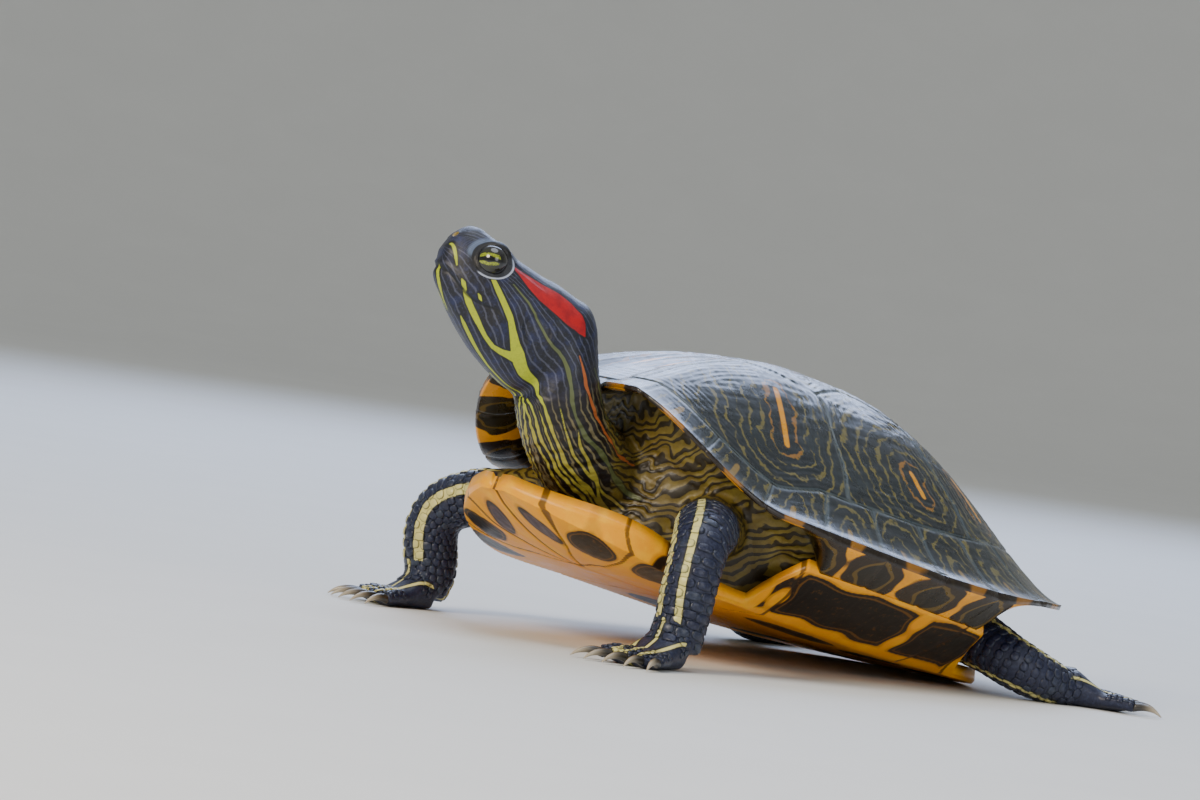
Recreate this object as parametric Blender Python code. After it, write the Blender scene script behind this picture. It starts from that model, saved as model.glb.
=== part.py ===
"""Red-eared slider turtle, life-size still model. Metres, +Z up; the animal faces -Y, its left is +X."""

import math

import bmesh
import bpy
from mathutils import Matrix, Vector

MM = 0.001

# Driving dimensions, millimetres, in the shell's own frame: X left, Y to the tail, Z up from the mid rim.
SHELL_LENGTH = 170.0
SHELL_WIDTH = 136.2
DOME_HEIGHT = 44.5
APEX_SHIFT = 0.5
FRONT_SQUARENESS = 3.0
REAR_SQUARENESS = 2.35
REAR_WIDENING = 0.08
FRONT_ARCH = 21.5
FRONT_ARCH_START = 0.58
REAR_LIFT = 7.1
MID_DIP = 1.3
NUCHAL_NOTCH = 4.0
SHELL_THICKNESS = 2.8
FLANGE = 12.0
MARGINALS = (5.0, 28.4, 26.8, 24.1, 22.6, 22.9, 23.6, 24.0, 25.0, 25.0, 23.0, 21.0, 18.0)
SERRATION = 1.1

PLASTRON_FLOOR = -25.0
PLASTRON_FRONT = -97.4
PLASTRON_REAR = 70.5
PLASTRON_THICKNESS = 3.0
LOBE_THICKENING = 0.6
FRONT_UPTURN = 11.3
REAR_UPTURN = 3.4
LOBE_RISE = 6.0
BRIDGE_FRONT = -33.0
BRIDGE_REAR = 33.0
BRIDGE_TOP = -11.0
BRIDGE_INSET = 8.2

BODY_PITCH = 10.5
FLOOR_IN_BODY = -33.7
GAP = 0.3

HEAD_BASE = Vector((8.0, -92.9, 25.5))
HEAD_YAW = 24.0
HEAD_PITCH = 21.8
EYE_RADIUS = 4.3
EYE_AT = (31.3, 7.0, 4.9)

COLOURS = {
    "skin": (0.055, 0.065, 0.05),
    "shell": (0.05, 0.06, 0.055),
    "plastron": (0.72, 0.38, 0.06),
    "eye": (0.02, 0.02, 0.015),
    "claw": (0.42, 0.37, 0.25),
}
ROUGHNESS = {"skin": 0.5, "shell": 0.3, "plastron": 0.4, "eye": 0.08, "claw": 0.35}


# ---------------------------------------------------------------- scene and mesh helpers
def clear_scene():
    for obj in list(bpy.data.objects):
        bpy.data.objects.remove(obj, do_unlink=True)


def collection(name, hidden=False):
    made = bpy.data.collections.new(name)
    bpy.context.scene.collection.children.link(made)
    made.hide_render = hidden
    return made


def material(name, kind):
    mat = bpy.data.materials.new(name)
    mat.use_nodes = True
    shader = mat.node_tree.nodes["Principled BSDF"]
    shader.inputs["Base Color"].default_value = (*COLOURS[kind], 1.0)
    shader.inputs["Roughness"].default_value = ROUGHNESS[kind]
    shader.inputs["Metallic"].default_value = 0.0
    return mat


def place(point):
    """Shell frame, millimetres, to the world: nose raised by BODY_PITCH, the floor at Z = 0."""
    pitch = math.radians(BODY_PITCH)
    x, y, z = point
    return Vector(
        (
            x,
            y * math.cos(pitch) + z * math.sin(pitch),
            -y * math.sin(pitch) + z * math.cos(pitch) - FLOOR_IN_BODY,
        )
    )


def make(name, verts, faces, kind, home, clamp=True):
    """One closed mesh object from points in the shell frame. Points under the floor are brought up to it."""
    points = [place(v) for v in verts]
    if clamp:
        for p in points:
            p.z = max(p.z, 0.0)
    mesh = bpy.data.meshes.new(name)
    mesh.from_pydata([p * MM for p in points], [], faces)
    mesh.validate()
    bm = bmesh.new()
    bm.from_mesh(mesh)
    bmesh.ops.remove_doubles(bm, verts=bm.verts, dist=0.00002)
    bmesh.ops.dissolve_degenerate(bm, edges=bm.edges, dist=0.00001)
    bmesh.ops.triangulate(bm, faces=bm.faces)
    bmesh.ops.recalc_face_normals(bm, faces=bm.faces)
    if bm.calc_volume(signed=True) < 0:
        bmesh.ops.reverse_faces(bm, faces=bm.faces)
    bm.to_mesh(mesh)
    bm.free()
    obj = bpy.data.objects.new(name, mesh)
    home.objects.link(obj)
    mesh.materials.append(material(name, kind))
    return obj


def grown(source, name, home, by=GAP):
    """A copy of a solid, larger by the gap all round: a cutter."""
    mesh = source.data.copy()
    bm = bmesh.new()
    bm.from_mesh(mesh)
    bm.normal_update()
    moves = [(v, v.normal * min(v.calc_shell_factor(), 2.0) * by * MM) for v in bm.verts]
    for vert, move in moves:
        vert.co += move
    bm.to_mesh(mesh)
    bm.free()
    obj = bpy.data.objects.new(name, mesh)
    obj.display_type = "WIRE"
    home.objects.link(obj)
    return obj


def cut(obj, cutter, operation="DIFFERENCE"):
    mod = obj.modifiers.new(cutter.name, "BOOLEAN")
    mod.operation = operation
    mod.solver = "EXACT"
    mod.object = cutter


def apply_all(obj):
    """Bakes the modifiers and keeps the largest body: an exact cut can leave a crumb."""
    bpy.context.view_layer.update()
    graph = bpy.context.evaluated_depsgraph_get()
    mesh = bpy.data.meshes.new_from_object(obj.evaluated_get(graph))
    obj.modifiers.clear()
    old = obj.data
    name = old.name
    bm = bmesh.new()
    bm.from_mesh(mesh)
    bmesh.ops.remove_doubles(bm, verts=bm.verts, dist=0.00003)
    bmesh.ops.dissolve_degenerate(bm, edges=bm.edges, dist=0.00002)
    bmesh.ops.dissolve_limit(
        bm, angle_limit=math.radians(0.6), verts=bm.verts, edges=bm.edges, use_dissolve_boundaries=False
    )
    bmesh.ops.triangulate(bm, faces=bm.faces)
    keep_largest(bm)
    bm.to_mesh(mesh)
    bm.free()
    obj.data = mesh
    mesh.name = name + "_cut"
    bpy.data.meshes.remove(old)


def keep_largest(bm):
    """Drops every crumb, also one that still hangs on by an edge."""
    left = set(bm.faces)
    groups = []
    while left:
        seed = left.pop()
        group = {seed}
        stack = [seed]
        while stack:
            for edge in stack.pop().edges:
                if len(edge.link_faces) != 2:
                    continue
                for face in edge.link_faces:
                    if face not in group:
                        group.add(face)
                        stack.append(face)
        left -= group
        groups.append(group)
    groups.sort(key=len)
    for group in groups[:-1]:
        bmesh.ops.delete(bm, geom=list(group), context="FACES")


def grid_faces(rows, cols, wrap=True):
    faces = []
    span = cols if wrap else cols - 1
    for r in range(rows - 1):
        for c in range(span):
            d = (c + 1) % cols
            faces.append((r * cols + c, r * cols + d, (r + 1) * cols + d, (r + 1) * cols + c))
    return faces


def tube(rings, sides):
    """Verts and faces of a closed loft. A ring is centre, side axis, up axis, side radius, up radius, down radius, power."""
    verts = []
    for centre, side, up, across, above, below, power in rings:
        for k in range(sides):
            a = 2 * math.pi * k / sides
            c, s = math.cos(a), math.sin(a)
            c = math.copysign(abs(c) ** (2 / power), c)
            s = math.copysign(abs(s) ** (2 / power), s)
            verts.append(centre + side * (across * c) + up * ((above if s > 0 else below) * s))
    faces = grid_faces(len(rings), sides)
    verts.append(rings[0][0])
    verts.append(rings[-1][0])
    last = (len(rings) - 1) * sides
    for k in range(sides):
        faces.append(((k + 1) % sides, k, len(verts) - 2))
        faces.append((last + k, last + (k + 1) % sides, len(verts) - 1))
    return verts, faces


def path_rings(points, side, radii, power=2.0, ahead=None):
    """Rings along a path, turned to follow it. radii holds (across, above, below) for each point."""
    rings = []
    for i, point in enumerate(points):
        before = points[max(i - 1, 0)]
        after = points[min(i + 1, len(points) - 1)]
        along = (after - before).normalized()
        up = along.cross(side).normalized()
        across = up.cross(along).normalized()
        rings.append((point, across, up, *radii[i], power))
    return rings


def limb_piece(rings, first, last, near=True, far=True):
    """The rings first..last of a limb, each open end drawn back by half the gap."""
    part = [list(r) for r in rings[first : last + 1]]
    if near and first > 0:
        along = (rings[first + 1][0] - rings[first][0]).normalized()
        part[0][0] = part[0][0] + along * (GAP * 0.55)
    if far and last < len(rings) - 1:
        along = (rings[last][0] - rings[last - 1][0]).normalized()
        part[-1][0] = part[-1][0] - along * (GAP * 0.55)
    return [tuple(r) for r in part]


def mirrored(verts, flip):
    return [Vector((-v[0], v[1], v[2])) for v in verts] if flip else verts


# ---------------------------------------------------------------- shell
def signed_power(value, power):
    return math.copysign(abs(value) ** power, value)


def clamp01(value):
    return max(0.0, min(1.0, value))


def plan(t):
    """Rim outline: t runs from the nose (0) over the left flank to the tail (pi)."""
    c, s = math.cos(t), math.sin(t)
    power = FRONT_SQUARENESS if c > 0 else REAR_SQUARENESS
    y = -SHELL_LENGTH / 2 * signed_power(c, 2 / power)
    x = SHELL_WIDTH / 2 * signed_power(s, 2 / power) * (1 + REAR_WIDENING * y / (SHELL_LENGTH / 2))
    if c > 0:
        y += NUCHAL_NOTCH * math.exp(-((x / 17.0) ** 4))
    return x, y


def rim_height(t):
    y = plan(t)[1] / (SHELL_LENGTH / 2)
    arch = FRONT_ARCH * clamp01((-y - FRONT_ARCH_START) / (0.97 - FRONT_ARCH_START)) ** 1.7
    return arch + REAR_LIFT * clamp01(y) ** 2 - MID_DIP * clamp01(1 - (y / 0.6) ** 2)


def dome(t, f):
    """Outer face of the carapace, f from the crown (0) to the rim (1)."""
    x, y = plan(t)
    c = math.cos(t)
    lean = (0.89 if c > 0 else 0.67) * c * c + 0.62 * (1 - c * c)
    fall = max(0.0, 1 - f**2.2) ** (1 / lean)
    return Vector((x * f, y * f + APEX_SHIFT * (1 - f), DOME_HEIGHT * fall + rim_height(t) * f * f))


def seam_angles():
    """Rim angles of the marginal seams, from the front midline round the left side."""
    steps = 720
    points = [Vector((*plan(math.pi * i / steps), rim_height(math.pi * i / steps))) for i in range(steps + 1)]
    runs = [0.0]
    for a, b in zip(points, points[1:]):
        runs.append(runs[-1] + (b - a).length)
    total = sum(MARGINALS)
    angles = []
    done = 0.0
    for width in MARGINALS:
        done += width
        target = done / total * runs[-1]
        i = next(k for k in range(steps + 1) if runs[k] >= target - 1e-6)
        angles.append(math.pi * i / steps)
    return angles


def at_bridge(y):
    """1 over the bridge, 0 over the lobes, eased at the notches."""
    front = clamp01((y - BRIDGE_FRONT + 12) / 12)
    rear = clamp01((BRIDGE_REAR + 12 - y) / 12)
    return min(front, rear) ** 1.5


def under_rim(t, step):
    """Underside of the marginals, step 0 at the rim to 1 at its inner edge."""
    x, y = plan(t)
    r = math.hypot(x, y)
    bridge = at_bridge(y)
    inward = (FLANGE * (1 - bridge) + 8.5 * bridge) * step
    k = 1 - inward / r
    lifted = dome(t, k).z - SHELL_THICKNESS - 0.6 * step
    z = rim_height(t) - 1.4
    open_z = z + (lifted - z) * step * 0.75
    wrap_z = z + (BRIDGE_TOP - z) * step**0.85
    return Vector((x * k, y * k, open_z * (1 - bridge) + wrap_z * bridge))


def build_carapace(home):
    seams = seam_angles()
    angles = [0.0]
    for a, b in zip([0.0] + seams[:-1], seams):
        parts = 1 if b == seams[0] else 2
        angles += [a + (b - a) * (i + 1) / parts for i in range(parts)]
    full = angles + [2 * math.pi - a for a in reversed(angles[1:-1])]
    notches = [a for a in seams[6:-1]]
    outer = (0.12, 0.3, 0.48, 0.64, 0.78, 0.89, 0.965)
    rows = []
    for f in outer:
        rows.append([dome(t, f) for t in full])
    rim = []
    for t in full:
        near = min(abs(min(t, 2 * math.pi - t) - a) for a in notches)
        pull = SERRATION * clamp01(1 - near / 0.04)
        x, y = plan(t)
        k = 1 - pull / math.hypot(x, y)
        rim.append(Vector((x * k, y * k, rim_height(t))))
    rows.append(rim)
    rows.append([r - Vector((0, 0, 1.2)) + (Vector((-r.x, -r.y, 0)).normalized() * 0.5) for r in rim])
    for step in (0.45, 1.0):
        rows.append([under_rim(t, step) for t in full])
    # Back over the inner edge and up the inside of the dome.
    for f in (0.80, 0.6, 0.4, 0.2):
        row = []
        for t in full:
            p = dome(t, f)
            row.append(Vector((p.x, p.y, p.z - SHELL_THICKNESS)))
        rows.append(row)
    verts = [p for row in rows for p in row]
    cols = len(full)
    faces = grid_faces(len(rows), cols)
    verts.append(dome(0.0, 0.0))
    top = len(verts) - 1
    verts.append(dome(0.0, 0.0) - Vector((0, 0, SHELL_THICKNESS)))
    low = len(verts) - 1
    last = (len(rows) - 1) * cols
    for k in range(cols):
        n = (k + 1) % cols
        faces.append((n, k, top))
        faces.append((last + k, last + n, low))
    return make("carapace", verts, faces, "shell", home)


def plastron_level(y):
    """Height of the plastron's lower face on the midline: the front lobe turns up, the rear lobe a little."""
    front = clamp01((-58.0 - y) / 38.0)
    rear = clamp01((y - 8.0) / 62.0)
    return PLASTRON_FLOOR + FRONT_UPTURN * front**1.9 + REAR_UPTURN * rear**1.2


def lobe_rise(y, u):
    """The front lobe's sides curl up from its flat middle."""
    along = math.sin(math.pi * clamp01((y + 97.0) / 47.0)) ** 1.5
    return LOBE_RISE * along * clamp01((u - 0.35) / 0.65) ** 2


def plastron_half(y):
    """Half width of the flat of the plastron."""
    if y < -40:
        s = clamp01((y - PLASTRON_FRONT) / (-40 - PLASTRON_FRONT))
        return 44.5 * (1 - (1 - s) ** 2.2) ** 0.75
    if y > 36:
        s = clamp01((PLASTRON_REAR - y) / (PLASTRON_REAR - 36))
        return 42.0 * (1 - (1 - s) ** 2.6) ** 0.6
    return 44.5 - 2.5 * clamp01((y + 40) / 76)


def rim_half(y):
    """Half width of the rim at station y."""
    power = FRONT_SQUARENESS if y < 0 else REAR_SQUARENESS
    share = min(abs(y) / (SHELL_LENGTH / 2), 0.99)
    return SHELL_WIDTH / 2 * (1 - share**power) ** (1 / power) * (1 + REAR_WIDENING * y / (SHELL_LENGTH / 2))


def plastron_section(y, u):
    """Lower face at station y, u from the midline (0) to the edge (1). Over the bridge the edge climbs to the marginals."""
    bridge = min(clamp01((y - BRIDGE_FRONT + 8) / 8), clamp01((BRIDGE_REAR + 8 - y) / 8))
    half = plastron_half(y)
    level = plastron_level(y)
    if u <= 0.75:
        return Vector((half * u / 0.75 * (1 - 0.06 * bridge), y, level + lobe_rise(y, u)))
    s = (u - 0.75) / 0.25
    flat = half * (1 - 0.06 * bridge)
    x = flat + bridge * (rim_half(y) - BRIDGE_INSET - flat) * s
    z = level + lobe_rise(y, u) + 0.9 * s * (1 - bridge) + bridge * (BRIDGE_TOP - 0.2 - level) * s**1.2
    return Vector((x + 0.8 * s * (1 - bridge), y, z))


def build_plastron(home):
    stations = [-97.2, -96.4, -94.6, -91.5, -87, -81, -74, -66, -58, -50, -44, -40, -36, -32, -15, 3, 20, 31]
    stations += [36, 40, 46, 56, 63.5, 68.0, 70.2]
    us = [0, 0.25, 0.5, 0.75, 0.84, 0.92, 1.0]
    both = [-u for u in reversed(us[1:])] + us
    low = []
    high = []
    for y in stations:
        for u in both:
            p = plastron_section(y, abs(u))
            notch = 2.5 * clamp01(1 - abs(p.x) / 9) * clamp01((y - 62) / 8)
            p.x = math.copysign(p.x, u) if u else 0.0
            p.y -= notch
            p.y += 1.5 * clamp01(1 - abs(p.x) / 5) * clamp01((-91 - y) / 6)
            low.append(p)
            thick = PLASTRON_THICKNESS + LOBE_THICKENING * clamp01((-45 - y) / 10)
            inner = Vector((p.x * 0.975, p.y * 0.995, p.z + thick))
            if abs(u) > 0.9:
                inner.x = p.x * 0.985
            high.append(inner)
    cols = len(both)
    rows = len(stations)
    count = rows * cols
    faces = [tuple(reversed(f)) for f in grid_faces(rows, cols, wrap=False)]
    faces += [tuple(i + count for i in f) for f in grid_faces(rows, cols, wrap=False)]
    for r in range(rows - 1):
        for c in (0, cols - 1):
            a, b = r * cols + c, (r + 1) * cols + c
            faces.append((a, b, b + count, a + count))
    for c in range(cols - 1):
        for r in (0, rows - 1):
            a, b = r * cols + c, r * cols + c + 1
            faces.append((a, b, b + count, a + count))
    return make("plastron", low + high, faces, "plastron", home)


# ---------------------------------------------------------------- trunk
def trunk_profile(t):
    """Trunk outline down one direction: inside the dome, behind the rim, down to the plastron."""
    x, y = plan(t)
    bridge = at_bridge(y)
    points = []
    for f in (0.14, 0.34, 0.54, 0.70, 0.82):
        p = dome(t, f)
        points.append(Vector((p.x * 0.985, p.y * 0.985, p.z - SHELL_THICKNESS * 0.55)))
    edge = under_rim(t, 1.0)
    inner = 1 - (1.5 * (1 - bridge) + 0.5 * bridge) / math.hypot(x, y)
    points.append(Vector((edge.x * inner, edge.y * inner, edge.z + 1.4)))
    c = math.cos(t)
    # Down the pocket of skin between the shells.
    yp = max(PLASTRON_FRONT + 12, min(PLASTRON_REAR - 6, -78.0 * signed_power(c, 0.82)))
    half = plastron_half(yp) * (0.93 - 0.05 * bridge)
    low = Vector((math.copysign(min(half, abs(edge.x) * 1.0), x) if abs(x) > 1e-6 else 0.0, yp, plastron_level(yp) + 2.0))
    low.x *= clamp01(abs(math.sin(t)) ** 0.75)
    front = clamp01((c - 0.15) / 0.5)
    rear = clamp01((-c - 0.15) / 0.5)
    for s in (0.35, 0.7):
        p = points[5].lerp(low, s)
        pull = 1 - (0.10 * front + 0.10 * rear) * math.sin(math.pi * s)
        points.append(Vector((p.x * pull, p.y * pull, p.z)))
    points.append(low)
    points.append(Vector((low.x * 0.5, low.y * 0.5, PLASTRON_FLOOR + PLASTRON_THICKNESS * 0.5 + 1.0)))
    return points


def build_trunk(home):
    cols = 44
    angles = [2 * math.pi * i / cols for i in range(cols)]
    columns = [trunk_profile(t) for t in angles]
    rows = len(columns[0])
    verts = [columns[c][r] for r in range(rows) for c in range(cols)]
    faces = grid_faces(rows, cols)
    verts.append(dome(0.0, 0.0) - Vector((0, 0, SHELL_THICKNESS * 0.55)))
    verts.append(Vector((0, 0, PLASTRON_FLOOR + PLASTRON_THICKNESS * 0.5)))
    last = (rows - 1) * cols
    for k in range(cols):
        n = (k + 1) % cols
        faces.append((n, k, len(verts) - 2))
        faces.append((last + k, last + n, len(verts) - 1))
    return make("trunk", verts, faces, "skin", home)


# ---------------------------------------------------------------- neck and head
def head_axes():
    yaw = math.radians(HEAD_YAW)
    pitch = math.radians(HEAD_PITCH)
    nose = Vector(
        (-math.sin(yaw) * math.cos(pitch), -math.cos(yaw) * math.cos(pitch), math.sin(pitch))
    )
    left = Vector((math.cos(yaw), -math.sin(yaw), 0.0))
    up = left.cross(nose) * -1.0
    if up.z < 0:
        up = -up
    return nose, left, up


def head_point(u, s, v):
    """Head frame to shell frame: u to the nose, s to the left, v up."""
    nose, left, up = head_axes()
    return HEAD_BASE + nose * u + left * s + up * v


# Stations of the head: distance to the nose, half width, crown, chin, squareness.
HEAD_STATIONS = (
    (-3.0, 11.0, 11.4, -14.5, 2.1),
    (1.5, 11.8, 12.6, -16.0, 2.1),
    (6.0, 12.4, 13.0, -17.2, 2.15),
    (11.0, 12.4, 12.8, -17.0, 2.2),
    (16.0, 12.0, 12.4, -16.3, 2.25),
    (21.0, 11.2, 11.9, -15.2, 2.3),
    (26.0, 10.2, 11.4, -13.5, 2.35),
    (30.0, 9.2, 11.2, -11.9, 2.4),
    (34.0, 8.0, 11.0, -10.1, 2.35),
    (37.0, 6.9, 10.8, -8.8, 2.3),
    (39.5, 5.7, 10.3, -7.9, 2.25),
    (41.4, 4.4, 9.1, -6.9, 2.2),
    (42.6, 2.8, 6.6, -5.4, 2.0),
)


def head_ring(station):
    u, half, crown, chin, power = station
    nose, left, up = head_axes()
    middle = (crown + chin) * 0.5 + 0.6
    centre = head_point(u, 0.0, middle)
    return (centre, left, up, half, crown - middle, middle - chin, power)


def mouth_level(u):
    """Height of the mouth line along the head; behind the corner the cut falls to the throat."""
    if u > 23:
        return -4.7 - 1.5 * math.sin(math.pi * clamp01((u - 23) / 13)) + 0.9 * clamp01((u - 36) / 4)
    return -4.7 - 7.8 * clamp01((23 - u) / 20) ** 1.15


def build_head(home, cutters):
    rings = [head_ring(s) for s in HEAD_STATIONS]
    verts, faces = tube(rings, 22)
    whole = make("head", verts, faces, "skin", home)
    # The cutter below the mouth line, a swept slab.
    steps = [-9, -4, 0, 4, 8, 12, 16, 20, 23, 26, 29, 32, 35, 38, 41, 46]
    for name, rise in (("jaw_region", -GAP * 0.5), ("jaw_region_cut", GAP * 0.5)):
        verts = []
        for u in steps:
            top = mouth_level(u) + rise
            verts += [head_point(u, -20, top), head_point(u, 20, top), head_point(u, 20, -34), head_point(u, -20, -34)]
        faces = grid_faces(len(steps), 4)
        faces.append((3, 2, 1, 0))
        last = (len(steps) - 1) * 4
        faces.append((last, last + 1, last + 2, last + 3))
        obj = make(name, verts, faces, "skin", cutters, clamp=False)
        obj.display_type = "WIRE"
    jaw = bpy.data.objects.new("lower_jaw", whole.data.copy())
    home.objects.link(jaw)
    jaw.data.materials.clear()
    jaw.data.materials.append(material("lower_jaw", "skin"))
    cut(jaw, bpy.data.objects["jaw_region"], "INTERSECT")
    cut(whole, bpy.data.objects["jaw_region_cut"])
    for side, name in ((1, "left"), (-1, "right")):
        centre = head_point(EYE_AT[0], side * EYE_AT[1], EYE_AT[2])
        eye = sphere("eye_" + name, centre, EYE_RADIUS, "eye", home, 14, 9)
        socket = grown(eye, "socket_" + name, cutters)
        cut(whole, socket)
    apply_all(jaw)
    apply_all(whole)


def sphere(name, centre, radius, kind, home, segments, rings):
    mesh = bpy.data.meshes.new(name)
    bm = bmesh.new()
    bmesh.ops.create_uvsphere(bm, u_segments=segments, v_segments=rings, radius=radius * MM)
    bmesh.ops.translate(bm, verts=bm.verts, vec=place(centre) * MM)
    bm.to_mesh(mesh)
    bm.free()
    mesh.materials.append(material(name, kind))
    obj = bpy.data.objects.new(name, mesh)
    home.objects.link(obj)
    return obj


NECK_PATH = ((0, -46, -3), (1.5, -57, -2), (4, -68, -0.5), (7, -78.5, 3.0), (9, -86.8, 9.0), (9.5, -92.3, 16.2))
NECK_RADII = ((17, 12, 12), (16.5, 12.5, 12.5), (15, 12.5, 12.5), (13.6, 11.6, 12.5), (12.4, 10.6, 12.6), (11.8, 11.0, 12.6))


def build_neck(home):
    path = [Vector(p) for p in NECK_PATH]
    rings = path_rings(path, Vector((1, 0, 0)), NECK_RADII)
    # The last rings turn into the head's own hind section.
    nose, left, up = head_axes()
    u, half, crown, chin, power = HEAD_STATIONS[0]
    for back, share in ((3.2, 0.55), (0.0, 1.0)):
        middle = (crown + chin) * 0.5 + 0.6
        centre = head_point(u - GAP - back, 0.0, middle - back * 0.75)
        axis_up = (rings[5][2] * (1 - share) + up * share).normalized()
        side = (Vector((1, 0, 0)) * (1 - share) + left * share).normalized()
        rings.append((centre, side, axis_up, half, crown - middle, middle - chin, power))
    verts, faces = tube(rings, 22)
    return make("neck", verts, faces, "skin", home)


# ---------------------------------------------------------------- legs, feet, claws, tail
ARM_PATHS = {
    "left": (
        (33, -48, -7), (42, -57, -8.5), (51, -66, -10.5), (57.5, -72, -14.5),
        (59.8, -74, -21), (59.8, -73.6, -29), (59.8, -73.2, -35.5), (60.0, -73.6, -42.4),
    ),
    "right": (
        (34, -45, -7.5), (45, -51, -9.5), (55, -57, -12.5), (62, -59.5, -17),
        (64.5, -59.5, -23.5), (64.2, -57.5, -30), (63.8, -56, -35.0), (63.6, -57.0, -40.4),
    ),
}
FOREFOOT_HEADING = {"left": 6.0, "right": 16.0}
ARM_RADII = ((10, 10, 9), (9.0, 8.6, 8.6), (8.4, 8.0, 8.0), (7.8, 7.6, 7.6), (7.4, 7.8, 7.8), (7.4, 7.8, 7.8))
ARM_RADII += ((7.2, 7.2, 7.2), (7.4, 6.4, 6.4))
LEG_PATH = ((26, 44, -8), (37, 46, -10), (47, 47.5, -12.5), (54, 50, -15.0), (57.5, 56, -16.6), (58.5, 62.5, -17.2))
LEG_PATH += ((58.5, 69, -17.6),)
LEG_RADII = ((12, 9, 9), (10.5, 8.5, 8.5), (9.4, 7.6, 7.6), (8.6, 7.2, 7.2), (7.6, 6.8, 6.8), (6.6, 6.0, 6.0))
LEG_RADII += ((6.4, 5.0, 5.0),)


def floor_level(y):
    """Height of the floor in the shell frame, at station y."""
    pitch = math.radians(BODY_PITCH)
    return (FLOOR_IN_BODY + y * math.sin(pitch)) / math.cos(pitch)


def foot(name, side, base, heading, width, length, toes, claw, home, cutters):
    """Palm and toes joined into one solid, and its claws as solids of their own."""
    flip = side < 0
    turn = math.radians(heading)
    forward = Vector((math.sin(turn), -math.cos(turn), 0.0))
    slope = math.tan(math.radians(BODY_PITCH))
    forward = Vector((forward.x, forward.y, forward.y * slope)).normalized()
    across = Vector((math.cos(turn), math.sin(turn), math.sin(turn) * slope)).normalized()
    up = across.cross(forward) * -1.0
    if up.z < 0:
        up = -up
    ground = Vector((base.x, base.y, floor_level(base.y)))
    rings = []
    for s, half, top, power in ((-0.42, 0.52, 8.6, 2.2), (-0.05, 0.70, 10.4, 2.2), (0.3, 0.80, 7.4, 2.3), (0.62, 0.92, 4.6, 2.4)):
        rings.append((ground + forward * (length * s) + up * (top * 0.45), across, up, width * half, top * 0.55, top * 0.5, power))
    rings.append((ground + forward * length * 0.9 + up * 1.3, across, up, width * 0.95, 1.3, 1.5, 2.4))
    verts, faces = tube(rings, 14)
    palm = make(name, mirrored(verts, flip), faces, "skin", home)
    for i in range(toes):
        share = (i / (toes - 1) - 0.5) * 2
        fan = math.radians(26 * share)
        reach = 1.0 - 0.16 * share * share
        way = (forward * math.cos(fan) + across * math.sin(fan)).normalized()
        start = ground + forward * length * 0.42 + across * (width * 0.72 * share) + up * 2.6
        end = ground + forward * length * 0.62 + across * (width * 0.78 * share) + way * (length * 0.55 * reach) + up * 2.0
        side_axis = up.cross(way).normalized()
        radii = ((1.9, 2.0, 2.0), (2.2, 2.2, 2.4), (2.1, 2.1, 2.1), (1.6, 1.7, 1.6))
        points = [start, start.lerp(end, 0.45) + up * 0.6, start.lerp(end, 0.82) + up * 0.35, end]
        ring_list = [(p, side_axis, up, *r, 2.0) for p, r in zip(points, radii)]
        verts, faces = tube(ring_list, 7)
        toe = make(f"{name}_toe_{i + 1}", mirrored(verts, flip), faces, "skin", cutters)
        toe.display_type = "WIRE"
        cut(palm, toe, "UNION")
        tip = end + way * (claw * 0.98) - up * 1.5
        mid = end + way * (claw * 0.55) + up * 0.5
        root = end + way * GAP
        rings = [
            (root, side_axis, up, 1.25, 1.35, 1.3, 2.0),
            (root.lerp(mid, 0.5) + up * 0.25, side_axis, up, 1.1, 1.15, 1.1, 2.0),
            (mid, side_axis, up, 0.85, 0.85, 0.85, 2.0),
            (tip, side_axis, up, 0.28, 0.3, 0.28, 2.0),
        ]
        verts, faces = tube(rings, 6)
        make(f"{name}_claw_{i + 1}", mirrored(verts, flip), faces, "claw", home)
    apply_all(palm)
    return palm


def build_limbs(home, cutters):
    made = []
    for side, tag in ((1, "left"), (-1, "right")):
        flip = side < 0
        axis = Vector((0.35, 1.0, 0.0)).normalized()
        arm = path_rings([Vector(p) for p in ARM_PATHS[tag]], axis, ARM_RADII)
        for name, first, last in (("upper_arm_", 0, 3), ("forearm_", 3, 7)):
            verts, faces = tube(limb_piece(arm, first, last), 16)
            made.append(make(name + tag, mirrored(verts, flip), faces, "skin", home))
        leg = path_rings([Vector(p) for p in LEG_PATH], Vector((0, 0, 1)), [(r[1], r[0], r[0]) for r in LEG_RADII])
        for name, first, last in (("thigh_", 0, 3), ("shank_", 3, 6)):
            verts, faces = tube(limb_piece(leg, first, last), 14)
            made.append(make(name + tag, mirrored(verts, flip), faces, "skin", home))
        wrist = ARM_PATHS[tag][-1]
        stand = Vector((abs(wrist[0]), wrist[1] - 2.6, 0))
        fore = foot("forefoot_" + tag, side, stand, FOREFOOT_HEADING[tag], 10.0, 12.0, 5, 7.6, home, cutters)
        hind = foot("hind_foot_" + tag, side, Vector((58.5, 71.5, 0)), 152.0, 10.5, 15.0, 4, 7.0, home, cutters)
        for obj, source in ((fore, "forearm_"), (hind, "shank_")):
            cutter = grown(bpy.data.objects[source + tag], "grown_" + source + tag, cutters)
            cut(obj, cutter)
            apply_all(obj)
    return made


TAIL_PATH = ((0, 60, -10), (-1, 68, -11.5), (-4, 75.5, -14.0), (-10, 81.5, -16.2), (-18, 85.0, -17.2), (-26, 86.5, -17.8))
TAIL_RADII = ((8, 6, 6), (7, 5.4, 5.4), (5.4, 4.5, 4.5), (4.0, 3.4, 3.4), (2.6, 2.2, 2.2), (1.0, 1.0, 1.0))


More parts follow.
